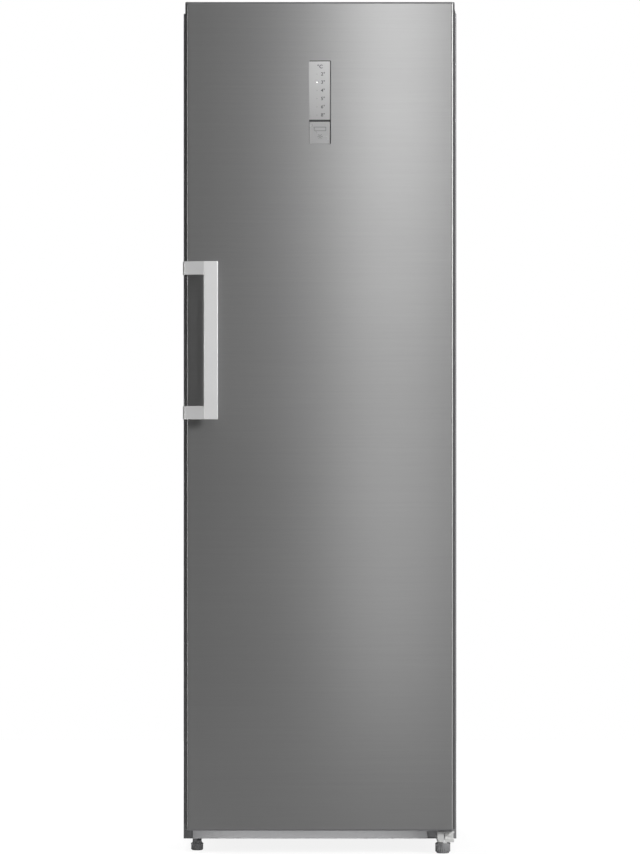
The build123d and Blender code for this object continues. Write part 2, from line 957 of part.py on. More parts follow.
with BuildPart() as power_inlet:
    rod((gland_x, back_y, gland_z), FRONT, gland_length, gland_radius)
    rod(
        (gland_x, back_y - rear_cover_thickness, gland_z),
        FRONT,
        gland_flange_thickness,
        gland_flange,
    )
    rod((gland_x, back_y, gland_z), FRONT, gland_length, gland_bore, mode=Mode.SUBTRACT)
power_inlet.part.label = "power_inlet"
export_step(power_inlet.part, "parts/power_inlet.step")


# Fan unit: a square frame with a motor hub and shaft, and the rotor on it
duct_half = 95
duct_depth = 14
duct_wall = 2.5
duct_low = step_top + 40
duct_high = inside_top - 40
fan_z = duct_high - 85
bulge_half = 75
bulge_depth = 44
fan_half = 55
fan_depth = 25
fan_bore = 47
fan_hub = 15
fan_hub_depth = 6
shaft_radius = 1.5
shaft_clearance = 0.1
blade_radius = 44.5
blade_count = 7
blade_pitch = 38
rotor_depth = 15
rotor_gap = 1.5
fan_front = inside_back - bulge_depth + duct_wall
fan_back = fan_front + fan_depth
strut_half = 3

with BuildPart() as fan_frame:
    block((-fan_half, fan_half), (fan_front, fan_back), (fan_z - fan_half, fan_z + fan_half))
    rod((0, fan_front, fan_z), BACK, fan_depth, fan_bore, mode=Mode.SUBTRACT)
    rod((0, fan_back, fan_z), FRONT, fan_hub_depth, fan_hub)
    for half_width, half_height in ((fan_bore, strut_half), (strut_half, fan_bore)):
        block(
            (-half_width, half_width),
            (fan_back - fan_hub_depth / 2, fan_back),
            (fan_z - half_height, fan_z + half_height),
        )
    rod((0, fan_back, fan_z), FRONT, fan_hub_depth + rotor_gap + 0.8 * rotor_depth, shaft_radius)
fan_frame.part.label = "fan_frame"
export_step(fan_frame.part, "parts/fan_frame.step")

rotor_back = fan_back - fan_hub_depth - rotor_gap
rotor_middle = rotor_back - rotor_depth / 2
with BuildPart() as fan_rotor:
    with Locations(Plane(origin=(0, rotor_middle, fan_z), x_dir=RIGHT, z_dir=FRONT)):
        with PolarLocations((fan_hub + blade_radius) / 2, blade_count):
            Box(blade_radius - fan_hub + 2, rotor_depth, 1.6, rotation=(blade_pitch, 0, 0))
    with BuildSketch(upright(rotor_back)):
        with Locations((0, fan_z)):
            Circle(blade_radius)
    extrude(amount=rotor_depth, mode=Mode.INTERSECT)
    rod((0, rotor_back, fan_z), FRONT, rotor_depth, fan_hub)
    fillet(fan_rotor.faces().sort_by(Axis.Y)[0].edges().sort_by(Edge.length)[-1], 2)
    shaft_bore = shaft_radius + shaft_clearance
    rod((0, rotor_back, fan_z), FRONT, 0.8 * rotor_depth + 1, shaft_bore, mode=Mode.SUBTRACT)
fan_rotor.part.label = "fan_rotor"
export_step(fan_rotor.part, "parts/fan_rotor.step")

# Air duct up the back of the room, with its fan housing, grille and outlets
outlet_width = 46
outlet_height = 7
outlet_spread = 90
outlet_drop = 60
grille_pitch = 10
grille_rows = 7
grille_width = 80

with BuildPart() as air_duct:
    block((-duct_half, duct_half), (inside_back - duct_depth, inside_back), (duct_low, duct_high))
    block(
        (-bulge_half, bulge_half),
        (inside_back - bulge_depth, inside_back),
        (fan_z - bulge_half, fan_z + bulge_half),
    )
    fillet(air_duct.edges().group_by(Axis.Y)[0], 5)
    block(
        (-duct_half + duct_wall, duct_half - duct_wall),
        (inside_back - duct_depth + duct_wall, inside_back),
        (duct_low + duct_wall, duct_high - duct_wall),
        mode=Mode.SUBTRACT,
    )
    block(
        (-bulge_half + duct_wall, bulge_half - duct_wall),
        (fan_front, inside_back),
        (fan_z - bulge_half + duct_wall, fan_z + bulge_half - duct_wall),
        mode=Mode.SUBTRACT,
    )
    with BuildSketch(upright(inside_back)):
        with Locations((0, fan_z)):
            with GridLocations(0, grille_pitch, 1, grille_rows):
                SlotOverall(grille_width, outlet_height)
        for level in shelf_levels:
            with Locations((0, level - outlet_drop)):
                with GridLocations(outlet_spread, 0, 2, 1):
                    SlotOverall(outlet_width, outlet_height)
    extrude(amount=bulge_depth, mode=Mode.SUBTRACT)
air_duct.part.label = "air_duct"
export_step(air_duct.part, "parts/air_duct.step")


# Ceiling lamp: a hollow lens
lamp_half = 80
lamp_front = shelf_front + 60
lamp_depth = 42
lamp_drop = 9
lamp_wall = 2
with BuildPart() as lamp_lens:
    block((-lamp_half, lamp_half), (lamp_front, lamp_front + lamp_depth), (inside_top - lamp_drop, inside_top))
    fillet(lamp_lens.edges().group_by(Axis.Z)[0], 4)
    block(
        (-lamp_half + lamp_wall, lamp_half - lamp_wall),
        (lamp_front + lamp_wall, lamp_front + lamp_depth - lamp_wall),
        (inside_top - lamp_drop + lamp_wall, inside_top),
        mode=Mode.SUBTRACT,
    )
lamp_lens.part.label = "lamp_lens"
export_step(lamp_lens.part, "parts/lamp_lens.step")


# Glass shelves on the ledges, each with a trim along its front and its back
shelf_half = inside_half - shelf_side_gap
trim_half = inside_half - ledge_width - shelf_side_gap / 2
glass_front = shelf_front + trim_depth / 4


def shelf_glass(level):
    """A glass plate that lies on the ledges at a level."""
    with BuildPart() as plate:
        block((-shelf_half, shelf_half), (glass_front, shelf_back), (level, level + glass_thickness))
        fillet(plate.edges().filter_by(Axis.Z), glass_thickness)
    return plate


def trim_strip(level, front, back, glass):
    """Add a strip that clips round one edge of a glass plate."""
    with BuildPart() as strip:
        low = level - trim_below
        block((-trim_half, trim_half), (front, back), (low, low + trim_height))
        fillet(strip.edges().filter_by(Axis.X), 2)
        add(glass.part, mode=Mode.SUBTRACT)
    add(strip.part)


crisper_cover = shelf_glass(crisper_level)
crisper_cover.part.label = "crisper_cover"
export_step(crisper_cover.part, "parts/crisper_cover.step")

with BuildPart() as shelf_trims:
    trim_strip(crisper_level, shelf_front, shelf_front + trim_depth, crisper_cover)
    for number, level in enumerate(shelf_levels, 1):
        glass = shelf_glass(level)
        glass.part.label = f"shelf_{number}"
        export_step(glass.part, f"parts/shelf_{number}.step")
        trim_strip(level, shelf_front, shelf_front + trim_depth, glass)
        trim_strip(level, shelf_back - trim_depth, shelf_back + trim_depth / 4, glass)
shelf_trims.part.label = "shelf_trims"
export_step(shelf_trims.part, "parts/shelf_trims.step")


# Chrome bottle rack: level bars, with two waved wires that cradle the bottles
rack_bar = 3
rack_side_bar = 2.6
rack_wire = 1.8
wave_radius = 2
bottle_count = 5
bottle_sag = 12
wave_inset = 70
rack_z = rack_level + rack_bar
rack_half = inside_half - shelf_side_gap - rack_bar
rack_front = shelf_front + rack_bar
rack_back = shelf_back - rack_bar
bottle_pitch = 2 * trim_half / bottle_count


def wave_wire(y):
    """A wire that dips under each bottle and rises between two of them."""
    with BuildPart() as wire:
        with BuildLine() as route:
            for number in range(2 * bottle_count):
                start = -trim_half + number * bottle_pitch / 2
                dip = -bottle_sag if number % 2 == 0 else bottle_sag
                ThreePointArc(
                    (start, y, rack_z),
                    (start + bottle_pitch / 4, y, rack_z + dip),
                    (start + bottle_pitch / 2, y, rack_z),
                )
        with BuildSketch(Plane(origin=route.line @ 0, z_dir=route.line % 0)):
            Circle(wave_radius)
        sweep()
    return wire.part


with BuildPart() as bottle_rack:
    for y in (rack_front, rack_back):
        rod((-rack_half - rack_bar, y, rack_z), RIGHT, 2 * (rack_half + rack_bar), rack_bar)
    for x in (-rack_half, rack_half):
        rod((x, rack_front, rack_z), BACK, rack_back - rack_front, rack_side_bar)
    for number in range(2 * bottle_count + 1):
        x = -trim_half + number * bottle_pitch / 2
        rod((x, rack_front, rack_z), BACK, rack_back - rack_front, rack_wire)
    for y in (rack_front + wave_inset, rack_back - wave_inset):
        add(wave_wire(y))
bottle_rack.part.label = "bottle_rack"
export_step(bottle_rack.part, "parts/bottle_rack.step")


# Two crisper drawers that run on the glides of the floor
drawer_half = (2 * inside_half - 2 * drawer_side_gap - drawer_middle_gap) / 4
drawer_low = inside_floor + glide_height + glide_clearance
drawer_back = step_front - drawer_back_gap
grip_width = 120
grip_depth = 24
grip_round = 10


def drawer(x):
    """An open crisper box with a finger cut-out in its front."""
    with BuildPart() as box:
        drawer_top = drawer_low + drawer_height
        block((x - drawer_half, x + drawer_half), (drawer_front, drawer_back), (drawer_low, drawer_top))
        fillet(box.edges().filter_by(Axis.Z), drawer_round)
        fillet(box.edges().group_by(Axis.Z)[0], 1.6 * drawer_wall)
        offset(amount=-drawer_wall, openings=box.faces().sort_by(Axis.Z)[-1])
        with BuildSketch(upright(drawer_front)) as grip:
            with Locations((x, drawer_low + drawer_height)):
                RectangleRounded(grip_width, 2 * grip_depth, grip_round)
        extrude(grip.sketch, amount=-2 * drawer_wall, mode=Mode.SUBTRACT)
    return box


drawer_left = drawer(-(drawer_half + drawer_middle_gap / 2))
drawer_left.part.label = "drawer_left"
export_step(drawer_left.part, "parts/drawer_left.step")

drawer_right = drawer(drawer_half + drawer_middle_gap / 2)
drawer_right.part.label = "drawer_right"
export_step(drawer_right.part, "parts/drawer_right.step")


# Handle: a flat bar on two arms that wrap the door's free edge, with countersunk screws
bar_left = -(door_half - handle_bar_inset)
bar_right = bar_left + handle_bar_width
bar_back = handle_front + handle_bar_depth
plate_left = -(door_half + handle_plate)
plate_back = door_front + handle_wrap
handle_low = handle_above_floor
handle_high = handle_low + handle_height
arm_lows = (handle_low, handle_high - handle_arm_height)
arm_bend = 7
handle_screw_head = 3.4
handle_screw_sink = 2
handle_screw_radius = 1.8
handle_screw_length = 12
handle_screw_spread = 14

with BuildPart() as handle_screws:
    for low in arm_lows:
        for side in (-1, 1):
            screw_z = low + handle_arm_height / 2 + side * handle_screw_spread / 2
            seat = (plate_left, plate_back - 3 * handle_plate, screw_z)
            rod(seat, RIGHT, handle_screw_sink, handle_screw_head)
            rod(seat, RIGHT, handle_plate + handle_screw_length, handle_screw_radius)
handle_screws.part.label = "handle_screws"
export_step(handle_screws.part, "parts/handle_screws.step")

with BuildPart() as handle_bar:
    block((bar_left, bar_right), (handle_front, bar_back), (handle_low, handle_high))
    fillet(handle_bar.edges().group_by(Axis.Y)[0], 1.2)
handle_bar.part.label = "handle_bar"
export_step(handle_bar.part, "parts/handle_bar.step")


def handle_arm(low):
    """Add an arm from the bar round the free edge of the door to its screwed plate."""
    with BuildSketch(Plane.XY.offset(low)) as plan:
        with BuildLine():
            Polyline(
                (bar_left, handle_front),
                (plate_left, door_front - handle_shoulder),
                (plate_left, plate_back),
                (-door_half, plate_back),
                (-door_half, door_front - handle_shoulder + 2 * handle_plate),
                (bar_left, bar_back),
                close=True,
            )
        make_face()
        fillet(plan.vertices().group_by(Axis.X)[0].sort_by(Axis.Y)[0], arm_bend)
    extrude(plan.sketch, amount=handle_arm_height)


with BuildPart() as handle_mounts:
    for low in arm_lows:
        handle_arm(low)
    add(handle_screws.part, mode=Mode.SUBTRACT)
handle_mounts.part.label = "handle_mounts"
export_step(handle_mounts.part, "parts/handle_mounts.step")


# Control panel: a tub behind the door skin, its window, its key and its circuit board
panel_half = panel_width / 2
panel_top = door_top - panel_below_top
panel_bottom = panel_top - panel_height
key_top = panel_bottom + key_height
window_bottom = key_top + groove_width
window_back = door_front + panel_recess + window_thickness
key_thickness = 3
key_back = door_front + panel_recess + key_thickness
key_seat = key_back + key_travel + key_gap
plunger_radius = 4
plunger_length = 8
tub_front = door_front + steel_sheet
tub_back = tub_front + tub_depth
tub_ledge = 2
board_gap = 4
panel_outline = (panel_half, panel_bottom, panel_top, panel_corner)
window_span = (window_bottom, panel_top)
key_span = (panel_bottom, key_top)
tub_span = (panel_bottom - tub_wall, panel_top + tub_wall)

with BuildPart() as panel_tub:
    block((-panel_half - tub_wall, panel_half + tub_wall), (tub_front, tub_back), tub_span)
    block((-panel_half, panel_half), (tub_front, window_back), window_span, mode=Mode.SUBTRACT)
    block((-panel_half, panel_half), (tub_front, key_seat), key_span, mode=Mode.SUBTRACT)
    block(
        (-panel_half, panel_half),
        (tub_front, tub_front + tub_ledge),
        (key_top, window_bottom),
        mode=Mode.SUBTRACT,
    )
    for front, (low, high) in ((window_back, window_span), (key_seat, key_span)):
        block(
            (-panel_half + tub_ledge, panel_half - tub_ledge),
            (front, tub_back - tub_wall),
            (low + tub_ledge, high - tub_ledge),
            mode=Mode.SUBTRACT,
        )
panel_tub.part.label = "panel_tub"
export_step(panel_tub.part, "parts/panel_tub.step")

with BuildPart() as panel_window:
    block((-panel_half, panel_half), (door_front + panel_recess, window_back), window_span)
panel_window.part.label = "panel_window"
export_step(panel_window.part, "parts/panel_window.step")

with BuildPart() as panel_board:
    block(
        (-panel_half + tub_ledge, panel_half - tub_ledge),
        (window_back + board_gap, window_back + board_gap + board_thickness),
        (window_bottom + tub_ledge, panel_top - tub_ledge),
    )
panel_board.part.label = "panel_board"
export_step(panel_board.part, "parts/panel_board.step")

with BuildPart() as control_key:
    block(
        (-panel_half + key_gap, panel_half - key_gap),
        (door_front + panel_recess, key_back),
        (panel_bottom + key_gap, key_top - key_gap),
    )
    fillet(control_key.edges().group_by(Axis.Y)[0], 0.5)
    rod((0, key_back, panel_bottom + key_height / 2), BACK, plunger_length, plunger_radius)
control_key.part.label = "control_key"
export_step(control_key.part, "parts/control_key.step")


# Door shell: end caps, steel skin, foam and liner
skin_low = door_bottom + cap_lip
skin_high = door_top - cap_lip
corner_reach = 18
corner_depth = 40
pocket_lip = 5.5
pin_bore = pin_radius + pin_clearance


def door_plan(inset, z, back=skin_back):
    """Plan of the door without its liner, drawn in by an inset, with round front corners."""
    half, front = door_half - inset, door_front + inset
    with BuildSketch(Plane.XY.offset(z)) as plan:
        with Locations((0, (front + back) / 2)):
            Rectangle(2 * half, back - front)
        fillet(plan.vertices().group_by(Axis.Y)[0], door_edge_round - inset)
    return plan.sketch


def door_cap(end, inward):
    """Plastic cap of one end of the door: lip, skirt, and a solid corner for the hinge pin."""
    lip = end + inward * cap_lip
    corner_span = (lip, lip + inward * corner_depth)
    with BuildPart() as corner:
        extrude(door_plan(steel_sheet, lip), amount=inward * corner_depth)
        rest = (-door_half, hinge_x - corner_reach)
        block(rest, (door_front, door_back), corner_span, mode=Mode.SUBTRACT)
    with BuildPart() as cap:
        extrude(door_plan(0, end), amount=inward * cap_lip)
        outer_face = cap.faces().sort_by(Axis.Z)[-1 if inward < 0 else 0]
        rim = outer_face.edges().filter_by(lambda edge: edge.center().Y < skin_back - steel_sheet)
        fillet(rim, cap_edge_round)
        extrude(door_plan(steel_sheet, lip), amount=inward * cap_skirt)
        extrude(
            door_plan(steel_sheet + cap_wall, lip, skin_back - cap_wall),
            amount=inward * cap_skirt,
            mode=Mode.SUBTRACT,
        )
        add(corner.part)
    return cap


with BuildPart() as hinge_pocket:
    block(
        (hinge_x - 1.5 * arm_half, door_half),
        (door_front + pocket_lip, door_back),
        (pocket_floor, door_top),
    )

door_top_cap = door_cap(door_top, -1)
with door_top_cap:
    add(hinge_pocket.part, mode=Mode.SUBTRACT)
    rod((hinge_x, hinge_y, pocket_floor), DOWN, pin_depth, pin_bore, mode=Mode.SUBTRACT)
door_top_cap.part.label = "door_top_cap"
export_step(door_top_cap.part, "parts/door_top_cap.step")

door_bottom_cap = door_cap(door_bottom, 1)
with door_bottom_cap:
    rod((hinge_x, hinge_y, door_bottom), UP, pin_depth, pin_bore, mode=Mode.SUBTRACT)
door_bottom_cap.part.label = "door_bottom_cap"
export_step(door_bottom_cap.part, "parts/door_bottom_cap.step")

with BuildPart() as door_skin:
    extrude(door_plan(0, skin_low), amount=skin_high - skin_low)
    extrude(door_plan(steel_sheet, skin_low), amount=skin_high - skin_low, mode=Mode.SUBTRACT)
    with BuildSketch(upright(door_front)):
        window(panel_outline)
    extrude(amount=-steel_sheet, mode=Mode.SUBTRACT)
    add(hinge_pocket.part, mode=Mode.SUBTRACT)
    add(handle_screws.part, mode=Mode.SUBTRACT)
door_skin.part.label = "door_skin"
export_step(door_skin.part, "parts/door_skin.step")


def ridge(inset):
    """The raised frame of the door liner, drawn in by an inset on every face."""
    with BuildPart() as raised:
        with BuildSketch(upright(skin_back)):
            window(grown(ridge_outline, -inset, ridge_outline[3] - inset))
            window(grown(ridge_inner, inset, ridge_inner[3] + inset), mode=Mode.SUBTRACT)
        extrude(amount=-(door_back + ridge_height - inset - skin_back))
        fillet(raised.faces().sort_by(Axis.Y)[-1].edges(), ridge_round - inset)
    return raised.part


with BuildPart() as door_foam:
    extrude(door_plan(steel_sheet, skin_low), amount=skin_high - skin_low)
    add(ridge(liner_sheet))
    tub_across = (-panel_half - tub_wall, panel_half + tub_wall)
    block(tub_across, (tub_front, tub_back), tub_span, mode=Mode.SUBTRACT)
    for neighbour in (door_top_cap, door_bottom_cap, hinge_pocket, handle_screws):
        add(neighbour.part, mode=Mode.SUBTRACT)
    rod((hinge_x, hinge_y, pocket_floor), DOWN, pin_depth, pin_bore, mode=Mode.SUBTRACT)
    rod((hinge_x, hinge_y, door_bottom), UP, pin_depth, pin_bore, mode=Mode.SUBTRACT)
door_foam.part.label = "door_foam"
export_step(door_foam.part, "parts/door_foam.step")

hook_front = door_back + hook_wall
hook_back = hook_front + hook_length
lug_reach = 5
balcony_heights = [bottle_balcony_height] + [balcony_height] * (balcony_count - 1)
balcony_tops = [level + height for level, height in zip(balcony_levels, balcony_heights)]

with BuildPart() as door_liner:
    block((-door_half, door_half), (skin_back, door_back), (door_bottom, door_top))
    add(ridge(0))
    add(ridge(liner_sheet), mode=Mode.SUBTRACT)
    for top in balcony_tops:
        lug_top = top - hook_wall - hook_clearance
        for side in (-1, 1):
            block(
                (side * (ridge_inner_half - lug_reach), side * (ridge_inner_half + liner_sheet / 2)),
                (hook_front + hook_wall + hook_clearance, hook_back - hook_wall - hook_clearance),
                (lug_top - lug_height, lug_top),
            )
    add(hinge_pocket.part, mode=Mode.SUBTRACT)
door_liner.part.label = "door_liner"
export_step(door_liner.part, "parts/door_liner.step")


# Magnetic seal: base, bellows and magnet strip
seal_outer = grown(room_opening, seal_margin + seal_width, 18)
seal_inner = grown(room_opening, seal_margin, 4)
seal_base = 4
seal_head = 3.5
seal_neck_inset = 4
seal_back = cabinet_front - seal_clearance
with BuildPart() as door_gasket:
    frame_ring(seal_outer, seal_inner, door_back, door_back + seal_base)
    frame_ring(
        grown(seal_outer, -seal_neck_inset, 14),
        grown(seal_inner, seal_neck_inset, 8),
        door_back + seal_base,
        seal_back - seal_head,
    )
    frame_ring(grown(seal_outer, -1, 17), grown(seal_inner, 1, 5), seal_back - seal_head, seal_back)
door_gasket.part.label = "door_gasket"
export_step(door_gasket.part, "parts/door_gasket.step")


# Balconies: open trays whose hooked rims drop over the lugs of the door liner
bin_half = ridge_inner_half - hook_reach
hook_half = ridge_inner_half - hook_clearance


def balcony(level, height):
    """A door tray at a level, with a hooked rim at each end."""
    top = level + height
    with BuildPart() as tray:
        block((-bin_half, bin_half), (door_back + hook_clearance, balcony_back), (level, top))
        uprights = tray.edges().filter_by(Axis.Z).group_by(Axis.Y)
        fillet(uprights[-1], balcony_round)
        fillet(tray.edges().group_by(Axis.Z)[0], 1.6 * balcony_wall)
        offset(amount=-balcony_wall, openings=tray.faces().sort_by(Axis.Z)[-1])
        for side in (-1, 1):
            across = (side * (bin_half - balcony_wall / 2), side * hook_half)
            block(across, (hook_front, hook_back), (top - hook_wall, top))
            hook_across = (side * bin_half, side * hook_half)
            for front in (hook_front, hook_back - hook_wall):
                block(hook_across, (front, front + hook_wall), (top - hook_drop, top))
    return tray


for number, (level, height) in enumerate(zip(balcony_levels, balcony_heights), 1):
    tray = balcony(level, height)
    tray.part.label = f"balcony_{number}"
    export_step(tray.part, f"parts/balcony_{number}.step")
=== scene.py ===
"""Dresses the packed refrigerator: brushed steel door, painted cabinet, glass and clear plastic inside."""

import json
import math

import bmesh
import bpy
from mathutils import Matrix, Vector


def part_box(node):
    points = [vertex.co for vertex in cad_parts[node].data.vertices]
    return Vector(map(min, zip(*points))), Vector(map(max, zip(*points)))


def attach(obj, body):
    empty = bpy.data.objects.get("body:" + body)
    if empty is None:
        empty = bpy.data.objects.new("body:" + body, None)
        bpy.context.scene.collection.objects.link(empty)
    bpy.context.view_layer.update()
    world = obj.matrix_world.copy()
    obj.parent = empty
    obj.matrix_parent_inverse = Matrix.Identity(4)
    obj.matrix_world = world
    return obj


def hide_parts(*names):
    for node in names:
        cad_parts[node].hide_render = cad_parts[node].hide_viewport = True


bl_info = {
    "name": "Larder refrigerator",
    "version": (1, 0, 0),
    "blender": (4, 5, 0),
    "location": "3D View > Sidebar > Refrigerator",
    "description": "Builds the visible pieces, finishes and studio of a tall refrigerator",
    "category": "Object",
}

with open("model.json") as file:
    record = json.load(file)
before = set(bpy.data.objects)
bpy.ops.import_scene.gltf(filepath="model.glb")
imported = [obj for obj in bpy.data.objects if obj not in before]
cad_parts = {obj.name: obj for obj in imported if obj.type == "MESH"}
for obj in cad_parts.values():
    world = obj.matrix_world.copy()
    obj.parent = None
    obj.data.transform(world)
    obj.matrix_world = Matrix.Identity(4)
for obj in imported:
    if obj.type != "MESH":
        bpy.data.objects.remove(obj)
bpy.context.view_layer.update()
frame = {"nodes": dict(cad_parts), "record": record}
NODES = frame["nodes"]
SLOTS = {part["node"]: part["material_slot"] for part in frame["record"]["subparts"]}
BODY_OF = {
    node: body
    for body, members in frame["record"]["behaviour"]["bodies"].items()
    for node in members
}
MILLIMETRE = 0.001
WHITE = (1, 1, 1, 1)


# Settings


class SteelSettings(bpy.types.PropertyGroup):
    """Brushed steel of the door."""

    colour: bpy.props.FloatVectorProperty(
        name="Colour",
        description="Reflected colour of the steel",
        subtype="COLOR",
        size=3,
        min=0,
        max=1,
        default=(0.325, 0.325, 0.325),
    )
    roughness: bpy.props.FloatProperty(
        name="Roughness",
        description="How far the brushing spreads a reflection",
        subtype="FACTOR",
        min=0,
        max=1,
        default=0.34,
    )
    line_depth: bpy.props.FloatProperty(
        name="Line depth",
        description="How strongly the brushed lines tilt the surface",
        subtype="FACTOR",
        min=0,
        max=1,
        default=0.025,
    )
    # The same band also takes painted shade: the door's colour is darkened over it.
    edge_band: bpy.props.FloatProperty(
        name="Edge band",
        description="Width of the rolled edge on which the brushing spreads further",
        subtype="DISTANCE",
        unit="LENGTH",
        min=0.001,
        max=0.05,
        default=0.008,
    )


class CabinetSettings(bpy.types.PropertyGroup):
    """Painted steel of the cabinet."""

    colour: bpy.props.FloatVectorProperty(
        name="Colour",
        description="Paint on the sides and the top",
        subtype="COLOR",
        size=3,
        min=0,
        max=1,
        default=(0.20, 0.20, 0.205),
    )
    trim_colour: bpy.props.FloatVectorProperty(
        name="Trim colour",
        description="Plastic of the door's end caps and the hinge cover",
        subtype="COLOR",
        size=3,
        min=0,
        max=1,
        default=(0.16, 0.16, 0.165),
    )


class HandleSettings(bpy.types.PropertyGroup):
    """Finish of the door handle."""

    colour: bpy.props.FloatVectorProperty(
        name="Colour",
        description="Satin silver of the bar and its arms",
        subtype="COLOR",
        size=3,
        min=0,
        max=1,
        default=(0.81, 0.81, 0.81),
    )
    arm_share: bpy.props.FloatProperty(
        name="Arm share",
        description="Share of the bar's colour that the cast arms have",
        subtype="FACTOR",
        min=0,
        max=1,
        default=0.78,
    )
    bevel: bpy.props.FloatProperty(
        name="Edge round",
        description="Radius of the bar's edges",
        subtype="DISTANCE",
        unit="LENGTH",
        min=0.0001,
        max=0.003,
        default=0.0008,
    )


class InsideSettings(bpy.types.PropertyGroup):
    """Finishes inside the refrigerator."""

    liner_colour: bpy.props.FloatVectorProperty(
        name="Liner colour",
        description="Plastic of the liners and the air duct",
        subtype="COLOR",
        size=3,
        min=0,
        max=1,
        default=(0.86, 0.87, 0.88),
    )
    clear_colour: bpy.props.FloatVectorProperty(
        name="Clear plastic colour",
        description="Tint of the drawers and the balconies",
        subtype="COLOR",
        size=3,
        min=0,
        max=1,
        default=(0.90, 0.94, 0.96),
    )


class StudioSettings(bpy.types.PropertyGroup):
    """Camera and lamps."""

    camera_distance: bpy.props.FloatProperty(
        name="Camera distance",
        description="From the door's front to the camera",
        subtype="DISTANCE",
        unit="LENGTH",
        min=1,
        max=30,
        default=8.0,
    )
    camera_height: bpy.props.FloatProperty(
        name="Camera height",
        description="Height of the level camera over the floor",
        subtype="DISTANCE",
        unit="LENGTH",
        min=0,
        max=3,
        default=0.926,
    )
    seen_width: bpy.props.FloatProperty(
        name="Seen width",
        description="Width of the picture at the door's front",
        subtype="DISTANCE",
        unit="LENGTH",
        min=0.1,
        max=10,
        default=1.3834,
    )
    world_level: bpy.props.FloatProperty(
        name="Room light",
        description="Strength of the even light all round",
        min=0,
        max=2,
        default=0.012,
    )
    mirror_share: bpy.props.FloatProperty(
        name="Mirrored background",
        description="Share of the white background that metals mirror",
        subtype="FACTOR",
        min=0,
        max=1,
        default=0.05,
    )


SETTINGS = (
    ("fridge_steel", SteelSettings),
    ("fridge_cabinet", CabinetSettings),
    ("fridge_handle", HandleSettings),
    ("fridge_inside", InsideSettings),
    ("fridge_studio", StudioSettings),
)


# Shader node groups


def group_socket(tree, name, kind, direction, default=None):
    """Add a named input or output to a node group."""
    socket = tree.interface.new_socket(name=name, in_out=direction, socket_type=kind)
    if default is not None:
        socket.default_value = default


def pattern_group(name, inputs, outputs):
    """An empty shader group with named inputs and outputs, and its end nodes."""
    tree = bpy.data.node_groups.new(name, "ShaderNodeTree")
    for label, default in inputs:
        group_socket(tree, label, "NodeSocketFloat", "INPUT", default)
    for label in outputs:
        group_socket(tree, label, "NodeSocketFloat", "OUTPUT")
    entry = tree.nodes.new("NodeGroupInput")
    leave = tree.nodes.new("NodeGroupOutput")
    return tree, entry, leave


def math_node(tree, operation, first, second=None):
    """A maths node; each operand is a number or a socket."""
    node = tree.nodes.new("ShaderNodeMath")
    node.operation = operation
    for socket, value in zip(node.inputs, (first, second)):
        if value is None:
            continue
        if isinstance(value, (int, float)):
            socket.default_value = value
        else:
            tree.links.new(value, socket)
    return node.outputs[0]


def noise_node(tree, vector, scale, detail):
    """Soft noise over a place; its scale is a number or a socket."""
    node = tree.nodes.new("ShaderNodeTexNoise")
    node.inputs["Detail"].default_value = detail
    tree.links.new(vector, node.inputs["Vector"])
    if isinstance(scale, (int, float)):
        node.inputs["Scale"].default_value = scale
    else:
        tree.links.new(scale, node.inputs["Scale"])
    return node.outputs["Fac"]


def stretched(tree, vector, scale):
    """A place, scaled along each axis."""
    node = tree.nodes.new("ShaderNodeMapping")
    node.inputs["Scale"].default_value = scale
    tree.links.new(vector, node.inputs["Vector"])
    return node.outputs["Vector"]


FINE_SHARE = 0.6
COARSE_SCALE = 0.22
CLOUD_SCALE = 2.2
CLOUD_STRETCH = (0.6, 0.6, 1.6)


def brushed_group():
    """Fine and coarse level scratches, with a slow variation over them."""
    tree, entry, leave = pattern_group(
        "Brushed lines", (("Lines", 900.0), ("Length", 9.0), ("Clouding", 0.3)), ("Lines", "Cloud")
    )
    place = tree.nodes.new("ShaderNodeTexCoord").outputs["Object"]
    split = tree.nodes.new("ShaderNodeSeparateXYZ")
    tree.links.new(place, split.inputs[0])
    join = tree.nodes.new("ShaderNodeCombineXYZ")
    for axis, label in (("X", "Length"), ("Y", "Length"), ("Z", "Lines")):
        scaled = math_node(tree, "MULTIPLY", split.outputs[axis], entry.outputs[label])
        tree.links.new(scaled, join.inputs[axis])
    fine = noise_node(tree, join.outputs[0], scale=1.0, detail=3.0)
    coarse = noise_node(tree, join.outputs[0], scale=COARSE_SCALE, detail=2.0)
    fine = math_node(tree, "MULTIPLY", fine, FINE_SHARE)
    coarse = math_node(tree, "MULTIPLY", coarse, 1 - FINE_SHARE)
    cloud = noise_node(tree, stretched(tree, place, CLOUD_STRETCH), scale=CLOUD_SCALE, detail=2.0)
    cloud = math_node(tree, "MULTIPLY", math_node(tree, "SUBTRACT", cloud, 0.5), entry.outputs["Clouding"])
    tree.links.new(math_node(tree, "ADD", fine, coarse), leave.inputs["Lines"])
    tree.links.new(math_node(tree, "ADD", cloud, 0.5), leave.inputs["Cloud"])
    return tree


def moulded_group():
    """The fine skin of moulded plastic or paint, with faint marks of handling."""
    tree, entry, leave = pattern_group(
        "Moulded skin", (("Grain", 700.0), ("Marks", 9.0)), ("Grain", "Marks")
    )
    place = tree.nodes.new("ShaderNodeTexCoord").outputs["Object"]
    for label, detail in (("Grain", 3.0), ("Marks", 5.0)):
        noise = noise_node(tree, place, scale=entry.outputs[label], detail=detail)
        tree.links.new(noise, leave.inputs[label])
    return tree


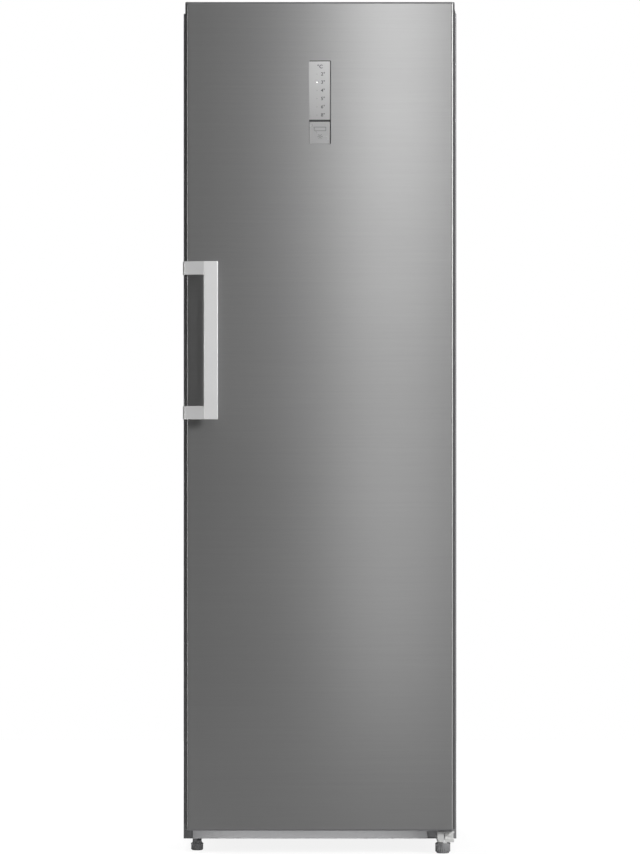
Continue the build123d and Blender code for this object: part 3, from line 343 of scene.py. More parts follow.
def cells_group():
    """Closed cells of foam, or the spangle of zinc."""
    tree, entry, leave = pattern_group("Cells", (("Cells", 300.0),), ("Cells", "Edges"))
    place = tree.nodes.new("ShaderNodeTexCoord").outputs["Object"]
    cells = tree.nodes.new("ShaderNodeTexVoronoi")
    tree.links.new(place, cells.inputs["Vector"])
    tree.links.new(entry.outputs["Cells"], cells.inputs["Scale"])
    grey = tree.nodes.new("ShaderNodeSeparateColor")
    tree.links.new(cells.outputs["Color"], grey.inputs[0])
    tree.links.new(grey.outputs[0], leave.inputs["Cells"])
    tree.links.new(cells.outputs["Distance"], leave.inputs["Edges"])
    return tree


PATTERN_MAKERS = {"brushed": brushed_group, "moulded": moulded_group, "cells": cells_group}
PATTERNS = {}


def pattern(name):
    """A shared shader group, built the first time it is wanted."""
    if name not in PATTERNS:
        PATTERNS[name] = PATTERN_MAKERS[name]()
    return PATTERNS[name]


# Materials

FINISHES = {}
BUMP_DISTANCE = 0.2 * MILLIMETRE


def shade(colour, factor):
    """A colour with its alpha, made lighter or darker by a factor."""
    return tuple(min(1.0, channel * factor) for channel in colour[:3]) + (1.0,)


def map_range(tree, value, low, high, start=0.3, end=0.7):
    """Map a value from start and end, where noise mostly lies, to low and high."""
    node = tree.nodes.new("ShaderNodeMapRange")
    tree.links.new(value, node.inputs["Value"])
    for label, number in (("From Min", start), ("From Max", end), ("To Min", low), ("To Max", high)):
        node.inputs[label].default_value = number
    return node.outputs["Result"]


def finish(
    name,
    colour,
    kind="moulded",
    roughness=0.5,
    spread=0.06,
    contrast=0.06,
    bump=0.1,
    sockets=None,
    sizes=None,
):
    """A procedural material: a shared pattern varies the colour, the roughness and the surface."""
    if name in FINISHES:
        return FINISHES[name]
    material = FINISHES[name] = bpy.data.materials.new(name + "_finish")
    material.use_nodes = True
    tree = material.node_tree
    shader = tree.nodes["Principled BSDF"]
    group = tree.nodes.new("ShaderNodeGroup")
    group.node_tree = pattern(kind)
    for label, value in (sizes or {}).items():
        group.inputs[label].default_value = value
    first, second = group.outputs[0], group.outputs[1]
    blend = tree.nodes.new("ShaderNodeMix")
    blend.data_type = "RGBA"
    tree.links.new(map_range(tree, first, 0.0, 1.0), blend.inputs["Factor"])
    blend.inputs["A"].default_value = shade(colour, 1 - contrast)
    blend.inputs["B"].default_value = shade(colour, 1 + contrast)
    tree.links.new(blend.outputs["Result"], shader.inputs["Base Color"])
    rough = map_range(tree, second, roughness - spread, roughness + spread)
    tree.links.new(rough, shader.inputs["Roughness"])
    if bump:
        relief = tree.nodes.new("ShaderNodeBump")
        relief.inputs["Strength"].default_value = bump
        relief.inputs["Distance"].default_value = BUMP_DISTANCE
        tree.links.new(first, relief.inputs["Height"])
        tree.links.new(relief.outputs["Normal"], shader.inputs["Normal"])
    for label, value in (sockets or {}).items():
        shader.inputs[label].default_value = value
    material.diffuse_color = shade(colour, 1)
    return material


def object_place(tree, axis, absolute=False):
    """Object coordinate of a shaded point along one axis, in metres."""
    place = tree.nodes.new("ShaderNodeTexCoord").outputs["Object"]
    split = tree.nodes.new("ShaderNodeSeparateXYZ")
    tree.links.new(place, split.inputs[0])
    value = split.outputs[axis]
    return math_node(tree, "ABSOLUTE", value) if absolute else value


def times_mask(material, label, mask):
    """Multiply a colour of a material by a mask."""
    tree = material.node_tree
    socket = tree.nodes["Principled BSDF"].inputs[label]
    before = socket.links[0].from_socket
    fade = tree.nodes.new("ShaderNodeMix")
    fade.data_type = "RGBA"
    fade.blend_type = "MULTIPLY"
    fade.inputs["Factor"].default_value = 1.0
    tree.links.new(before, fade.inputs["A"])
    tree.links.new(mask, fade.inputs["B"])
    tree.links.new(fade.outputs["Result"], socket)


def roughen_and_shade_edges(material, start, end, extra, share):
    """Roughen a material between two distances from the part's middle plane, and darken its colour there
    as painted shade.
    """
    tree = material.node_tree
    rough = tree.nodes["Principled BSDF"].inputs["Roughness"]
    before = rough.links[0].from_socket
    across = object_place(tree, "X", absolute=True)
    more = map_range(tree, across, 0.0, extra, start, end)
    tree.links.new(math_node(tree, "ADD", before, more), rough)
    # Painted shade: the colour is darkened toward the side edges
    times_mask(material, "Base Color", map_range(tree, across, 1.0, share, start, end))


def painted_shade_downward(material, start, end, lower):
    """Darken a material with painted shade from one height down to another."""
    tree = material.node_tree
    mask = map_range(tree, object_place(tree, "Z"), lower, 1.0, start, end)
    times_mask(material, "Base Color", mask)


# Extra roughness over the rolled edges, and the share of colour that the painted shade leaves there
EDGE_ROUGHER = 0.12
EDGE_SHADE_SHARE = 0.45


def door_steel():
    """Brushed steel that roughens over its rolled edges, where painted shade darkens it."""
    steel = bpy.context.scene.fridge_steel
    if "door_steel" in FINISHES:
        return FINISHES["door_steel"]
    material = finish(
        "door_steel",
        steel.colour,
        "brushed",
        roughness=steel.roughness,
        spread=0.03,
        contrast=0.028,
        bump=steel.line_depth,
        sockets={"Metallic": 0.7, "Anisotropic": 0.6, "Anisotropic Rotation": 0.25},
    )
    half_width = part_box("door_skin")[1][0]
    start, end = half_width - steel.edge_band, half_width - steel.edge_band / 2
    # Painted shade darkens the rolled edges
    roughen_and_shade_edges(material, start, end, EDGE_ROUGHER, EDGE_SHADE_SHARE)
    return material


def cabinet_paint():
    return finish(
        "cabinet_paint",
        bpy.context.scene.fridge_cabinet.colour,
        roughness=0.40,
        spread=0.02,
        contrast=0.03,
        bump=0.05,
        sockets={"Coat Weight": 0.1},
    )


def trim_plastic():
    return finish("trim_plastic", bpy.context.scene.fridge_cabinet.trim_colour, roughness=0.42, bump=0.12)


def liner_plastic():
    return finish(
        "liner_plastic",
        bpy.context.scene.fridge_inside.liner_colour,
        roughness=0.40,
        spread=0.01,
        contrast=0.01,
        bump=0.02,
    )


def clear_plastic():
    return finish(
        "clear_plastic",
        bpy.context.scene.fridge_inside.clear_colour,
        roughness=0.10,
        spread=0.04,
        contrast=0.02,
        bump=0.02,
        sockets={"Transmission Weight": 0.9, "IOR": 1.49},
    )


def shelf_glass():
    return finish(
        "shelf_glass",
        (0.86, 0.95, 0.92),
        roughness=0.03,
        spread=0.015,
        contrast=0.02,
        bump=0.0,
        sockets={"Transmission Weight": 0.96, "IOR": 1.52},
    )


def galvanised_sheet():
    return finish(
        "galvanised_sheet",
        (0.52, 0.53, 0.54),
        "cells",
        roughness=0.42,
        spread=0.05,
        contrast=0.035,
        bump=0.04,
        sockets={"Metallic": 0.8},
        sizes={"Cells": 120.0},
    )


def black_plastic():
    return finish("black_plastic", (0.022, 0.022, 0.023), roughness=0.48, contrast=0.15, bump=0.18)


def foot_plastic():
    return finish("foot_plastic", (0.26, 0.26, 0.265), roughness=0.45, contrast=0.1, bump=0.15)


def rail_paint():
    return finish("rail_paint", (0.55, 0.55, 0.56), roughness=0.36, contrast=0.04, bump=0.05)


def satin_silver(name, colour, roughness):
    return finish(
        name,
        colour,
        roughness=roughness,
        spread=0.03,
        contrast=0.02,
        bump=0.03,
        sockets={"Metallic": 0.25, "Coat Weight": 0.2},
    )


def handle_silver():
    return satin_silver("handle_silver", bpy.context.scene.fridge_handle.colour, 0.34)


def arm_silver():
    handle = bpy.context.scene.fridge_handle
    return satin_silver("arm_silver", shade(handle.colour, handle.arm_share), 0.36)


def foam_finish():
    return finish(
        "closed_foam",
        (0.84, 0.77, 0.55),
        "cells",
        roughness=0.85,
        contrast=0.12,
        bump=0.5,
        sizes={"Cells": 900.0},
    )


def seal_rubber():
    return finish("seal_rubber", (0.30, 0.30, 0.31), roughness=0.55, contrast=0.06, bump=0.1)


def metal_finish(name, colour, kind="moulded", metallic=1.0, **values):
    return finish(name, colour, kind, sockets={"Metallic": metallic}, **values)


def zinc_plate():
    return metal_finish(
        "zinc_plate", (0.84, 0.84, 0.83), metallic=0.45, roughness=0.28, contrast=0.04, bump=0.03
    )


def chrome_wire():
    return metal_finish(
        "chrome_wire", (0.80, 0.80, 0.81), roughness=0.10, spread=0.04, contrast=0.03, bump=0.0
    )


def trim_silver():
    return metal_finish(
        "trim_silver", (0.60, 0.61, 0.62), "brushed", 0.6, roughness=0.32, contrast=0.04, bump=0.03
    )


def copper_pipe():
    return metal_finish(
        "copper_pipe", (0.72, 0.38, 0.24), roughness=0.28, spread=0.1, contrast=0.12, bump=0.05
    )


def steel_pipe():
    return metal_finish(
        "steel_pipe", (0.10, 0.10, 0.10), metallic=0.5, roughness=0.4, contrast=0.15, bump=0.08
    )


def alloy_pipe():
    return metal_finish("alloy_pipe", (0.70, 0.71, 0.72), roughness=0.35, contrast=0.06, bump=0.06)


def black_enamel():
    return finish(
        "black_enamel",
        (0.015, 0.015, 0.016),
        roughness=0.2,
        contrast=0.2,
        bump=0.08,
        sockets={"Coat Weight": 0.6},
    )


def mount_rubber():
    return finish("mount_rubber", (0.03, 0.03, 0.03), roughness=0.7, contrast=0.2, bump=0.2)


def lamp_diffuser():
    return finish(
        "lamp_diffuser",
        (0.93, 0.93, 0.90),
        roughness=0.35,
        contrast=0.02,
        bump=0.05,
        sockets={
            "Transmission Weight": 0.35,
            "IOR": 1.49,
            "Emission Color": (1.0, 0.97, 0.92, 1),
            "Emission Strength": 1.0,
        },
    )


def board_resist():
    return finish(
        "board_resist", (0.03, 0.16, 0.08), roughness=0.35, contrast=0.2, bump=0.1, sizes={"Grain": 500.0}
    )


def fan_plastic():
    return finish("fan_plastic", (0.05, 0.05, 0.055), roughness=0.4, contrast=0.1, bump=0.08)


# Share of the window's colour left at its foot by the painted shade
WINDOW_FOOT_SHADE = 0.72


def panel_face():
    """Silvered window, darkened toward its foot by painted shade."""
    if "panel_face" in FINISHES:
        return FINISHES["panel_face"]
    material = finish(
        "panel_face",
        (0.57, 0.57, 0.57),
        roughness=0.16,
        spread=0.04,
        contrast=0.02,
        bump=0.0,
        sockets={"Metallic": 0.2, "Coat Weight": 0.4, "Coat Roughness": 0.05},
    )
    low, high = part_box("panel_window")
    # Painted shade: the window grows darker toward its foot
    painted_shade_downward(material, low[2], high[2], WINDOW_FOOT_SHADE)
    return material


def key_face():
    return metal_finish(
        "key_face", (0.34, 0.34, 0.34), metallic=0.2, roughness=0.30, contrast=0.02, bump=0.02
    )


def ink(name, colour):
    return finish(name, colour, roughness=0.5, contrast=0.05, bump=0.02)


def dark_ink():
    return ink("dark_ink", (0.045, 0.045, 0.05))


def key_ink():
    return ink("key_ink", (0.09, 0.09, 0.095))


def lit_dot():
    return finish(
        "lit_dot",
        (0.95, 0.95, 0.95),
        contrast=0.02,
        bump=0.0,
        sockets={"Emission Color": WHITE, "Emission Strength": 1.0},
    )


# Finish of each material slot of the record
SLOT_FINISH = {
    "door_steel": door_steel,
    "cabinet_paint": cabinet_paint,
    "galvanised": galvanised_sheet,
    "rail_grey": rail_paint,
    "zinc": zinc_plate,
    "black_plastic": black_plastic,
    "foot_grey": foot_plastic,
    "grey_plastic": trim_plastic,
    "bay_cover": galvanised_sheet,
    "white_liner": liner_plastic,
    "foam": foam_finish,
    "fan_black": fan_plastic,
    "tube_metal": alloy_pipe,
    "copper_tube": copper_pipe,
    "steel_tube": steel_pipe,
    "compressor_black": black_enamel,
    "rubber_mount": mount_rubber,
    "seal_grey": seal_rubber,
    "lamp": lamp_diffuser,
    "clear_glass": shelf_glass,
    "trim_silver": trim_silver,
    "chrome_wire": chrome_wire,
    "clear_plastic": clear_plastic,
    "handle_silver": handle_silver,
    "handle_arm": arm_silver,
    "screw_steel": zinc_plate,
    "panel_glass": panel_face,
    "key_silver": key_face,
    "board_green": board_resist,
}


# Building helpers

DOUBLES_WITHIN = 0.002 * MILLIMETRE
FLAT_WITHIN = math.radians(0.5)
SQUARE_ANGLE = 32
ROUND_ANGLE = 40


def new_object(name, mesh, material):
    """A finished piece from a mesh, with one material, linked to the scene."""
    obj = bpy.data.objects.new(name, mesh)
    bpy.context.scene.collection.objects.link(obj)
    mesh.materials.clear()
    mesh.materials.append(material)
    return obj


def settle(obj, node, replace=True):
    """Ride a piece on the body of a CAD node, and let it stand for the node."""
    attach(obj, BODY_OF[node])
    if replace:
        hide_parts(node)
    return obj


def plain_mesh(obj):
    """Turn an object's modifiers into its own mesh, and take them off."""
    evaluated = obj.evaluated_get(bpy.context.evaluated_depsgraph_get())
    mesh = bpy.data.meshes.new_from_object(evaluated)
    mesh.name = obj.name
    obj.modifiers.clear()
    obj.data = mesh


def shade_by_angle(obj, degrees):
    """Smooth shading, but sharp over edges that turn by more than an angle, and flat on large faces."""
    obj.data.shade_smooth()
    obj.data.set_sharp_from_angle(angle=math.radians(degrees))
    even = obj.modifiers.new("Even normals", "WEIGHTED_NORMAL")
    even.weight = 100
    even.keep_sharp = True
    plain_mesh(obj)


def mesh_from(work, name):
    """A mesh out of a bmesh, which is freed."""
    mesh = bpy.data.meshes.new(name)
    work.to_mesh(mesh)
    work.free()
    return mesh


def merged_mesh(node, name):
    """A copy of a CAD node's mesh with its loose triangles joined and its flat faces whole."""
    work = bmesh.new()
    work.from_mesh(NODES[node].data)
    bmesh.ops.remove_doubles(work, verts=work.verts, dist=DOUBLES_WITHIN)
    bmesh.ops.dissolve_limit(
        work, angle_limit=FLAT_WITHIN, verts=work.verts, edges=work.edges, delimit=set()
    )
    return mesh_from(work, name)


def slot_finish(node):
    """The finish of a CAD node's material slot."""
    return SLOT_FINISH[SLOTS[node]]()


def dressed(node, name, material=None, round_edges=0.0, angle=SQUARE_ANGLE, segments=2):
    """A joined, smoothly shaded copy of a CAD node, in its place; its edges may be eased by a radius."""
    obj = new_object(name, merged_mesh(node, name), material or slot_finish(node))
    if round_edges:
        ease = obj.modifiers.new("Eased edges", "BEVEL")
        ease.width = round_edges
        ease.segments = segments
        ease.limit_method = "ANGLE"
        ease.angle_limit = math.radians(angle)
        plain_mesh(obj)
    shade_by_angle(obj, angle)
    return settle(obj, node)


def round_piece(node, name, material=None):
    """A dressed piece whose curves stay smooth and whose edges stay as they are."""
    return dressed(node, name, material, angle=ROUND_ANGLE)


def eased_piece(node, name, edge, material=None):
    """A dressed piece with its edges eased by a radius in millimetres."""
    return dressed(node, name, material, round_edges=edge * MILLIMETRE)


def draw_in(obj, axis, length):
    """Draw the high end of a piece in along an axis: 0 is its right side, 2 its top."""
    points = [vertex.co for vertex in obj.data.vertices]
    edge = max(point[axis] for point in points) - MILLIMETRE
    for point in points:
        if point[axis] > edge:
            point[axis] -= length
    obj.data.update()


def paint(node):
    """Give a CAD node that shows as it is the finish of its slot."""
    data = NODES[node].data
    data.materials.clear()
    data.materials.append(slot_finish(node))


def joined(name, pieces):
    """One mesh object out of several that share a material."""
    work = bmesh.new()
    for piece in pieces:
        work.from_mesh(piece.data)
    material = pieces[0].data.materials[0]
    for piece in pieces:
        bpy.data.objects.remove(piece)
    return new_object(name, mesh_from(work, name), material)


# Geometry node trees for what repeats


def repeat_tree(name, inputs, build):
    """A geometry node tree with named inputs that ends in Realize Instances and Set Material."""
    tree = bpy.data.node_groups.new(name, "GeometryNodeTree")
    kinds = {float: "NodeSocketFloat", int: "NodeSocketInt", tuple: "NodeSocketVector"}
    for label, default in inputs:
        group_socket(tree, label, kinds[type(default)], "INPUT", default)
    group_socket(tree, "Material", "NodeSocketMaterial", "INPUT")
    group_socket(tree, "Geometry", "NodeSocketGeometry", "OUTPUT")
    entry = tree.nodes.new("NodeGroupInput")
    leave = tree.nodes.new("NodeGroupOutput")
    realize = tree.nodes.new("GeometryNodeRealizeInstances")
    colour = tree.nodes.new("GeometryNodeSetMaterial")
    tree.links.new(build(tree, entry), realize.inputs["Geometry"])
    tree.links.new(realize.outputs["Geometry"], colour.inputs["Geometry"])
    tree.links.new(entry.outputs["Material"], colour.inputs["Material"])
    tree.links.new(colour.outputs["Geometry"], leave.inputs["Geometry"])
    return tree


def grown_from(tree, name, material, **values):
    """A plain mesh object made by a geometry node tree with these input values."""
    obj = new_object(name, bpy.data.meshes.new(name), material)
    modifier = obj.modifiers.new("Repeat", "NODES")
    modifier.node_group = tree
    values["Material"] = material
    for item in tree.interface.items_tree:
        if item.in_out == "INPUT" and item.name in values:
            modifier[item.identifier] = values[item.name]
    plain_mesh(obj)
    obj.data.materials.clear()
    obj.data.materials.append(material)
    return obj


def bars_on(tree, entry, points):
    """Bars of the tree's size, one on each of its points."""
    bar = tree.nodes.new("GeometryNodeMeshCube")
    spread = tree.nodes.new("GeometryNodeInstanceOnPoints")
    tree.links.new(entry.outputs["Bar"], bar.inputs["Size"])
    tree.links.new(points, spread.inputs["Points"])
    tree.links.new(bar.outputs["Mesh"], spread.inputs["Instance"])
    return spread


def ring_build(tree, entry):
    """Upright bars set round a circle, each turned to its middle."""
    circle = tree.nodes.new("GeometryNodeMeshCircle")
    position = tree.nodes.new("GeometryNodeInputPosition")
    turn = tree.nodes.new("FunctionNodeAlignRotationToVector")
    turn.axis = "X"
    place = tree.nodes.new("GeometryNodeTransform")
    spread = bars_on(tree, entry, circle.outputs["Mesh"])
    links = tree.links.new
    links(entry.outputs["Count"], circle.inputs["Vertices"])
    links(entry.outputs["Radius"], circle.inputs["Radius"])
    links(position.outputs[0], turn.inputs["Vector"])
    links(turn.outputs["Rotation"], spread.inputs["Rotation"])
    links(spread.outputs["Instances"], place.inputs["Geometry"])
    links(entry.outputs["Centre"], place.inputs["Translation"])
    return place.outputs["Geometry"]


def row_build(tree, entry):
    """Bars set in a row."""
    line = tree.nodes.new("GeometryNodeMeshLine")
    links = tree.links.new
    links(entry.outputs["Count"], line.inputs["Count"])
    links(entry.outputs["Start"], line.inputs["Start Location"])
    links(entry.outputs["Step"], line.inputs["Offset"])
    return bars_on(tree, entry, line.outputs["Mesh"]).outputs["Instances"]


BAR_INPUT = ("Bar", (0.001, 0.001, 0.001))
REPEATS = {
    "ring": (
        "Ring of bars",
        (("Count", 24), ("Radius", 0.01), BAR_INPUT, ("Centre", (0.0, 0.0, 0.0))),
        ring_build,
    ),
    "row": (
        "Row of bars",
        (("Count", 8), ("Start", (0.0, 0.0, 0.0)), ("Step", (0.0, 0.0, 0.01)), BAR_INPUT),
        row_build,
    ),
}
TREES = {}


def repeat(kind, name, material, **values):
    """A plain mesh of bars repeated in a ring or a row."""
    if kind not in TREES:
        TREES[kind] = repeat_tree(*REPEATS[kind])
    return grown_from(TREES[kind], name, material, **values)


def row_of_bars(name, material, count, start, step, bar):
    return repeat("row", name, material, Count=count, Start=start, Step=step, Bar=bar)


def ring_of_bars(name, material, count, radius, bar, centre):
    return repeat("ring", name, material, Count=count, Radius=radius, Bar=bar, Centre=centre)


# Operators


class FRIDGE_OT_door(bpy.types.Operator):
    """Brushed steel skin of the door, its end caps, liner, seal and insulation"""

    bl_idname = "fridge.door"
    bl_label = "Door"

    def execute(self, context):
        round_piece("door_skin", "door_face")
        round_piece("door_top_cap", "door_top_trim")
        round_piece("door_bottom_cap", "door_bottom_trim")
        round_piece("door_liner", "door_lining")
        dressed("door_gasket", "door_seal", round_edges=0.6 * MILLIMETRE, angle=ROUND_ANGLE)
        paint("door_foam")
        return {"FINISHED"}


class FRIDGE_OT_handle(bpy.types.Operator):
    """Flat bar handle with its two wrapped arms and their screws"""

    bl_idname = "fridge.handle"
    bl_label = "Handle"

    def execute(self, context):
        bevel = context.scene.fridge_handle.bevel
        dressed("handle_bar", "handle_grip", round_edges=bevel, segments=3)
        dressed("handle_mounts", "handle_arms", round_edges=bevel, segments=3)
        dressed("handle_screws", "handle_fixings")
        return {"FINISHED"}


# Gap at the right and the top of the panel's faces that shows the black tub as a painted shadow of the
# recess
PANEL_SHADOW_GAP = 1.3 * MILLIMETRE

# Printed marks: their depth, the weight added to the characters, and the width of plain lines
PRINT_DEPTH = 0.03 * MILLIMETRE
STROKE_EXTRA = 0.15 * MILLIMETRE
INK_WIDTH = 0.9 * MILLIMETRE

# Scale of the window, measured down from its top and across from its middle
UNIT_TEXT = "°C"
UNIT_HEIGHT = 11 * MILLIMETRE
UNIT_BELOW_TOP = 13 * MILLIMETRE
SCALE_NUMBERS = ("2°", "3°", "4°", "5°", "6°", "8°")
NUMBER_HEIGHT = 10 * MILLIMETRE
SCALE_FIRST = 29 * MILLIMETRE
SCALE_STEP = 17.7 * MILLIMETRE
SCALE_RIGHT = 6.5 * MILLIMETRE
DOTS_LEFT = -6.5 * MILLIMETRE
DOT_WIDTH = 1.2 * MILLIMETRE
LIT_INDEX = 1
LIT_WIDTH = 3.0 * MILLIMETRE
LIT_HEIGHT = 2.2 * MILLIMETRE

# Marks of the key, measured from its middle
FRAME_ABOVE = 8.5 * MILLIMETRE
FRAME_WIDTH = 26 * MILLIMETRE
FRAME_HEIGHT = 8 * MILLIMETRE
STAR_BELOW = 8 * MILLIMETRE
STAR_RAYS = 6
STAR_RADIUS = 3.4 * MILLIMETRE
RAY_LENGTH = 4.4 * MILLIMETRE
RAY_WIDTH = 1.0 * MILLIMETRE


def glyphs(name, text, height, place):
    """Plain characters standing on a face that looks to the front."""
    curve = bpy.data.curves.new(name, "FONT")
    curve.body = text
    curve.size = height
    curve.align_x = "CENTER"
    curve.align_y = "CENTER"
    curve.extrude = PRINT_DEPTH
    curve.offset = STROKE_EXTRA
    curve.resolution_u = 4
    source = bpy.data.objects.new(name, curve)
    bpy.context.scene.collection.objects.link(source)
    mesh = bpy.data.meshes.new_from_object(source.evaluated_get(bpy.context.evaluated_depsgraph_get()))
    bpy.data.objects.remove(source)
    mesh.transform(Matrix.Translation(place) @ Matrix.Rotation(math.radians(90), 4, "X"))
    mesh.name = name
    return new_object(name, mesh, dark_ink())


def window_marks():
    """Numbers of the scale with their unit, a dot for each, and the lit one."""
    low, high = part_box("panel_window")
    face, top = low[1], high[2]
    levels = [top - SCALE_FIRST - SCALE_STEP * index for index in range(len(SCALE_NUMBERS))]
    marks = [glyphs("unit", UNIT_TEXT, UNIT_HEIGHT, (0, face, top - UNIT_BELOW_TOP))]
    for text, level in zip(SCALE_NUMBERS, levels):
        marks.append(glyphs("number", text, NUMBER_HEIGHT, (SCALE_RIGHT, face, level)))
    settle(joined("scale_numbers", marks), "panel_window", replace=False)
    step = (0, 0, SCALE_STEP)
    dot = (DOT_WIDTH, 2 * PRINT_DEPTH, DOT_WIDTH)
    start = (DOTS_LEFT, face, levels[-1])
    dots = row_of_bars("scale_dots", key_ink(), len(levels), start, step, dot)
    settle(dots, "panel_window", replace=False)
    start = (DOTS_LEFT, face, levels[LIT_INDEX])
    lit = row_of_bars("lit_mark", lit_dot(), 1, start, step, (LIT_WIDTH, 4 * PRINT_DEPTH, LIT_HEIGHT))
    settle(lit, "panel_window", replace=False)


def key_marks():
    """A bare frame with a star under it."""
    low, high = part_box("control_key")
    face, middle = low[1], (low[2] + high[2]) / 2
    frame_level = middle + FRAME_ABOVE
    upright_height = FRAME_HEIGHT - INK_WIDTH
    marks = []
    for side in (-1, 1):
        for across, level, width, height in (
            (0, frame_level + side * FRAME_HEIGHT / 2, FRAME_WIDTH, INK_WIDTH),
            (side * (FRAME_WIDTH - INK_WIDTH) / 2, frame_level, INK_WIDTH, upright_height),
        ):
            bar = (width, 2 * PRINT_DEPTH, height)
            marks.append(row_of_bars("edge", key_ink(), 1, (across, face, level), (0, 0, 0), bar))
    ray = (RAY_LENGTH, RAY_WIDTH, 2 * PRINT_DEPTH)
    star = ring_of_bars("star", key_ink(), STAR_RAYS, STAR_RADIUS, ray, (0, 0, 0))
    place = Matrix.Translation((0, face, middle - STAR_BELOW))
    star.data.transform(place @ Matrix.Rotation(math.radians(90), 4, "X"))
    settle(joined("key_marks", marks + [star]), "control_key", replace=False)


class FRIDGE_OT_panel(bpy.types.Operator):
    """Control panel: window with a plain scale and its lit dot, key, tub and board"""

    bl_idname = "fridge.panel"
    bl_label = "Control panel"

    def execute(self, context):
        # The tub is black so that the gaps at the right and the top show as the recess's painted shadow
        dressed("panel_tub", "panel_well", black_plastic())
        glass = dressed("panel_window", "panel_glass")
        key = round_piece("control_key", "panel_key")
        for obj, axis in ((glass, 0), (glass, 2), (key, 0)):
            draw_in(obj, axis, PANEL_SHADOW_GAP)
        paint("panel_board")
        window_marks()
        key_marks()
        return {"FINISHED"}


class FRIDGE_OT_cabinet(bpy.types.Operator):
    """Painted cabinet, its back, base pan, front rail and insulation"""

    bl_idname = "fridge.cabinet"
    bl_label = "Cabinet"

    def execute(self, context):
        round_piece("cabinet_shell", "cabinet_wrap")
        round_piece("back_panel", "back_sheet")
        round_piece("base_pan", "base_sheet")
        eased_piece("front_rail", "lower_rail", 0.8)
        paint("insulation_foam")
        return {"FINISHED"}


class FRIDGE_OT_hinges(bpy.types.Operator):
    """Hinges with their cover, guard and screws"""

    bl_idname = "fridge.hinges"
    bl_label = "Hinges"

    def execute(self, context):
        eased_piece("bottom_hinge", "lower_hinge", 0.3)
        eased_piece("top_hinge", "upper_hinge", 0.3)
        eased_piece("hinge_screws", "hinge_fixings", 0.2)
        eased_piece("top_hinge_cover", "hinge_cover", 0.8)
        eased_piece("hinge_end_cap", "hinge_guard", 0.6, foot_plastic())
        return {"FINISHED"}


# Ribs of the feet: count, thickness and width, then ring radius, lowest and highest level by foot
FOOT_RIBS = 24
RIB_SECTION = (1.4 * MILLIMETRE, 1.5 * MILLIMETRE)
FOOT_RINGS = (
    ("left", 12.4 * MILLIMETRE, 1.4 * MILLIMETRE, 11.2 * MILLIMETRE),
    ("right", 15.6 * MILLIMETRE, 3.4 * MILLIMETRE, 19.4 * MILLIMETRE),
)
# Room over a stem when its foot is screwed in fully
STEM_ROOM = 0.4 * MILLIMETRE


class FRIDGE_OT_feet(bpy.types.Operator):
    """Front feet with gripping ribs, and the rear rollers"""

    bl_idname = "fridge.feet"
    bl_label = "Feet and rollers"

    def execute(self, context):
        for side, radius, low, high in FOOT_RINGS:
            node = f"foot_{side}"
            draw_in(round_piece(node, f"{side}_foot", foot_plastic()), 2, STEM_ROOM)
            near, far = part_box(node)
            centre = ((near[0] + far[0]) / 2, (near[1] + far[1]) / 2, near[2] + (low + high) / 2)
            bar = (*RIB_SECTION, high - low)
            ribs = ring_of_bars(f"{side}_foot_ribs", foot_plastic(), FOOT_RIBS, radius, bar, centre)
            settle(ribs, node, replace=False)
        for side in ("left", "right"):
            eased_piece(f"roller_{side}", f"{side}_roller", 0.6)
        round_piece("roller_axles", "axles")
        return {"FINISHED"}


# Prisms under the lamp's lens
PRISM_COUNT = 18
PRISM_INSET = 12 * MILLIMETRE
PRISM_STEP = 8 * MILLIMETRE
PRISM_SIZE = (3 * MILLIMETRE, 30 * MILLIMETRE, 0.8 * MILLIMETRE)


class FRIDGE_OT_inside(bpy.types.Operator):
    """Liner, air duct, fan, lamp, shelves, bottle rack, trims and tubes"""

    bl_idname = "fridge.inside"
    bl_label = "Inside"

    def execute(self, context):
        round_piece("inner_liner", "room_lining")
        eased_piece("air_duct", "duct_cover", 1.0)
        round_piece("fan_frame", "fan_housing")
        round_piece("fan_rotor", "fan_blades")
        eased_piece("lamp_lens", "ceiling_lamp", 0.8)
        near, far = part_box("lamp_lens")
        start = (near[0] + PRISM_INSET, (near[1] + far[1]) / 2, near[2])
        step = (PRISM_STEP, 0, 0)
        prisms = row_of_bars("lamp_prisms", lamp_diffuser(), PRISM_COUNT, start, step, PRISM_SIZE)
        settle(prisms, "lamp_lens", replace=False)
        round_piece("shelf_trims", "shelf_strips")
        round_piece("bottle_rack", "wine_rack")
        for number in range(1, 6):
            eased_piece(f"shelf_{number}", f"glass_shelf_{number}", 0.5)
        eased_piece("crisper_cover", "crisper_glass", 0.5)
        round_piece("evaporator", "evaporator_tube")
        round_piece("drain_tube", "drain")
        return {"FINISHED"}


# Level ribs of the clear boxes: lowest one over the box's foot, step, depth and height
RIBS_LOWEST = 22 * MILLIMETRE
RIBS_STEP = 9 * MILLIMETRE
RIB_DEPTH = 0.6 * MILLIMETRE
RIB_HEIGHT = 1.8 * MILLIMETRE


def ribbed_box(node, name, inner_face, count, share):
    """A clear box with level ribs low on its inner or its outer face, over a share of its width."""
    eased_piece(node, name, 0.6)
    near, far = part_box(node)
    face = far[1] if inner_face else near[1]
    start = ((near[0] + far[0]) / 2, face, near[2] + RIBS_LOWEST)
    bar = (share * (far[0] - near[0]), RIB_DEPTH, RIB_HEIGHT)
    ribs = row_of_bars(f"{name}_ribs", clear_plastic(), count, start, (0, 0, RIBS_STEP), bar)
    settle(ribs, node, replace=False)


class FRIDGE_OT_balconies(bpy.types.Operator):
    """Clear balconies of the door"""

    bl_idname = "fridge.balconies"
    bl_label = "Door balconies"

    def execute(self, context):
        for number in range(1, 6):
            ribbed_box(f"balcony_{number}", f"door_tray_{number}", inner_face=True, count=3, share=0.86)
        return {"FINISHED"}


class FRIDGE_OT_drawers(bpy.types.Operator):
    """Clear crisper drawers"""

    bl_idname = "fridge.drawers"
    bl_label = "Crisper drawers"

    def execute(self, context):
        for side in ("left", "right"):
            ribbed_box(f"drawer_{side}", f"{side}_crisper", inner_face=False, count=4, share=0.80)
        return {"FINISHED"}


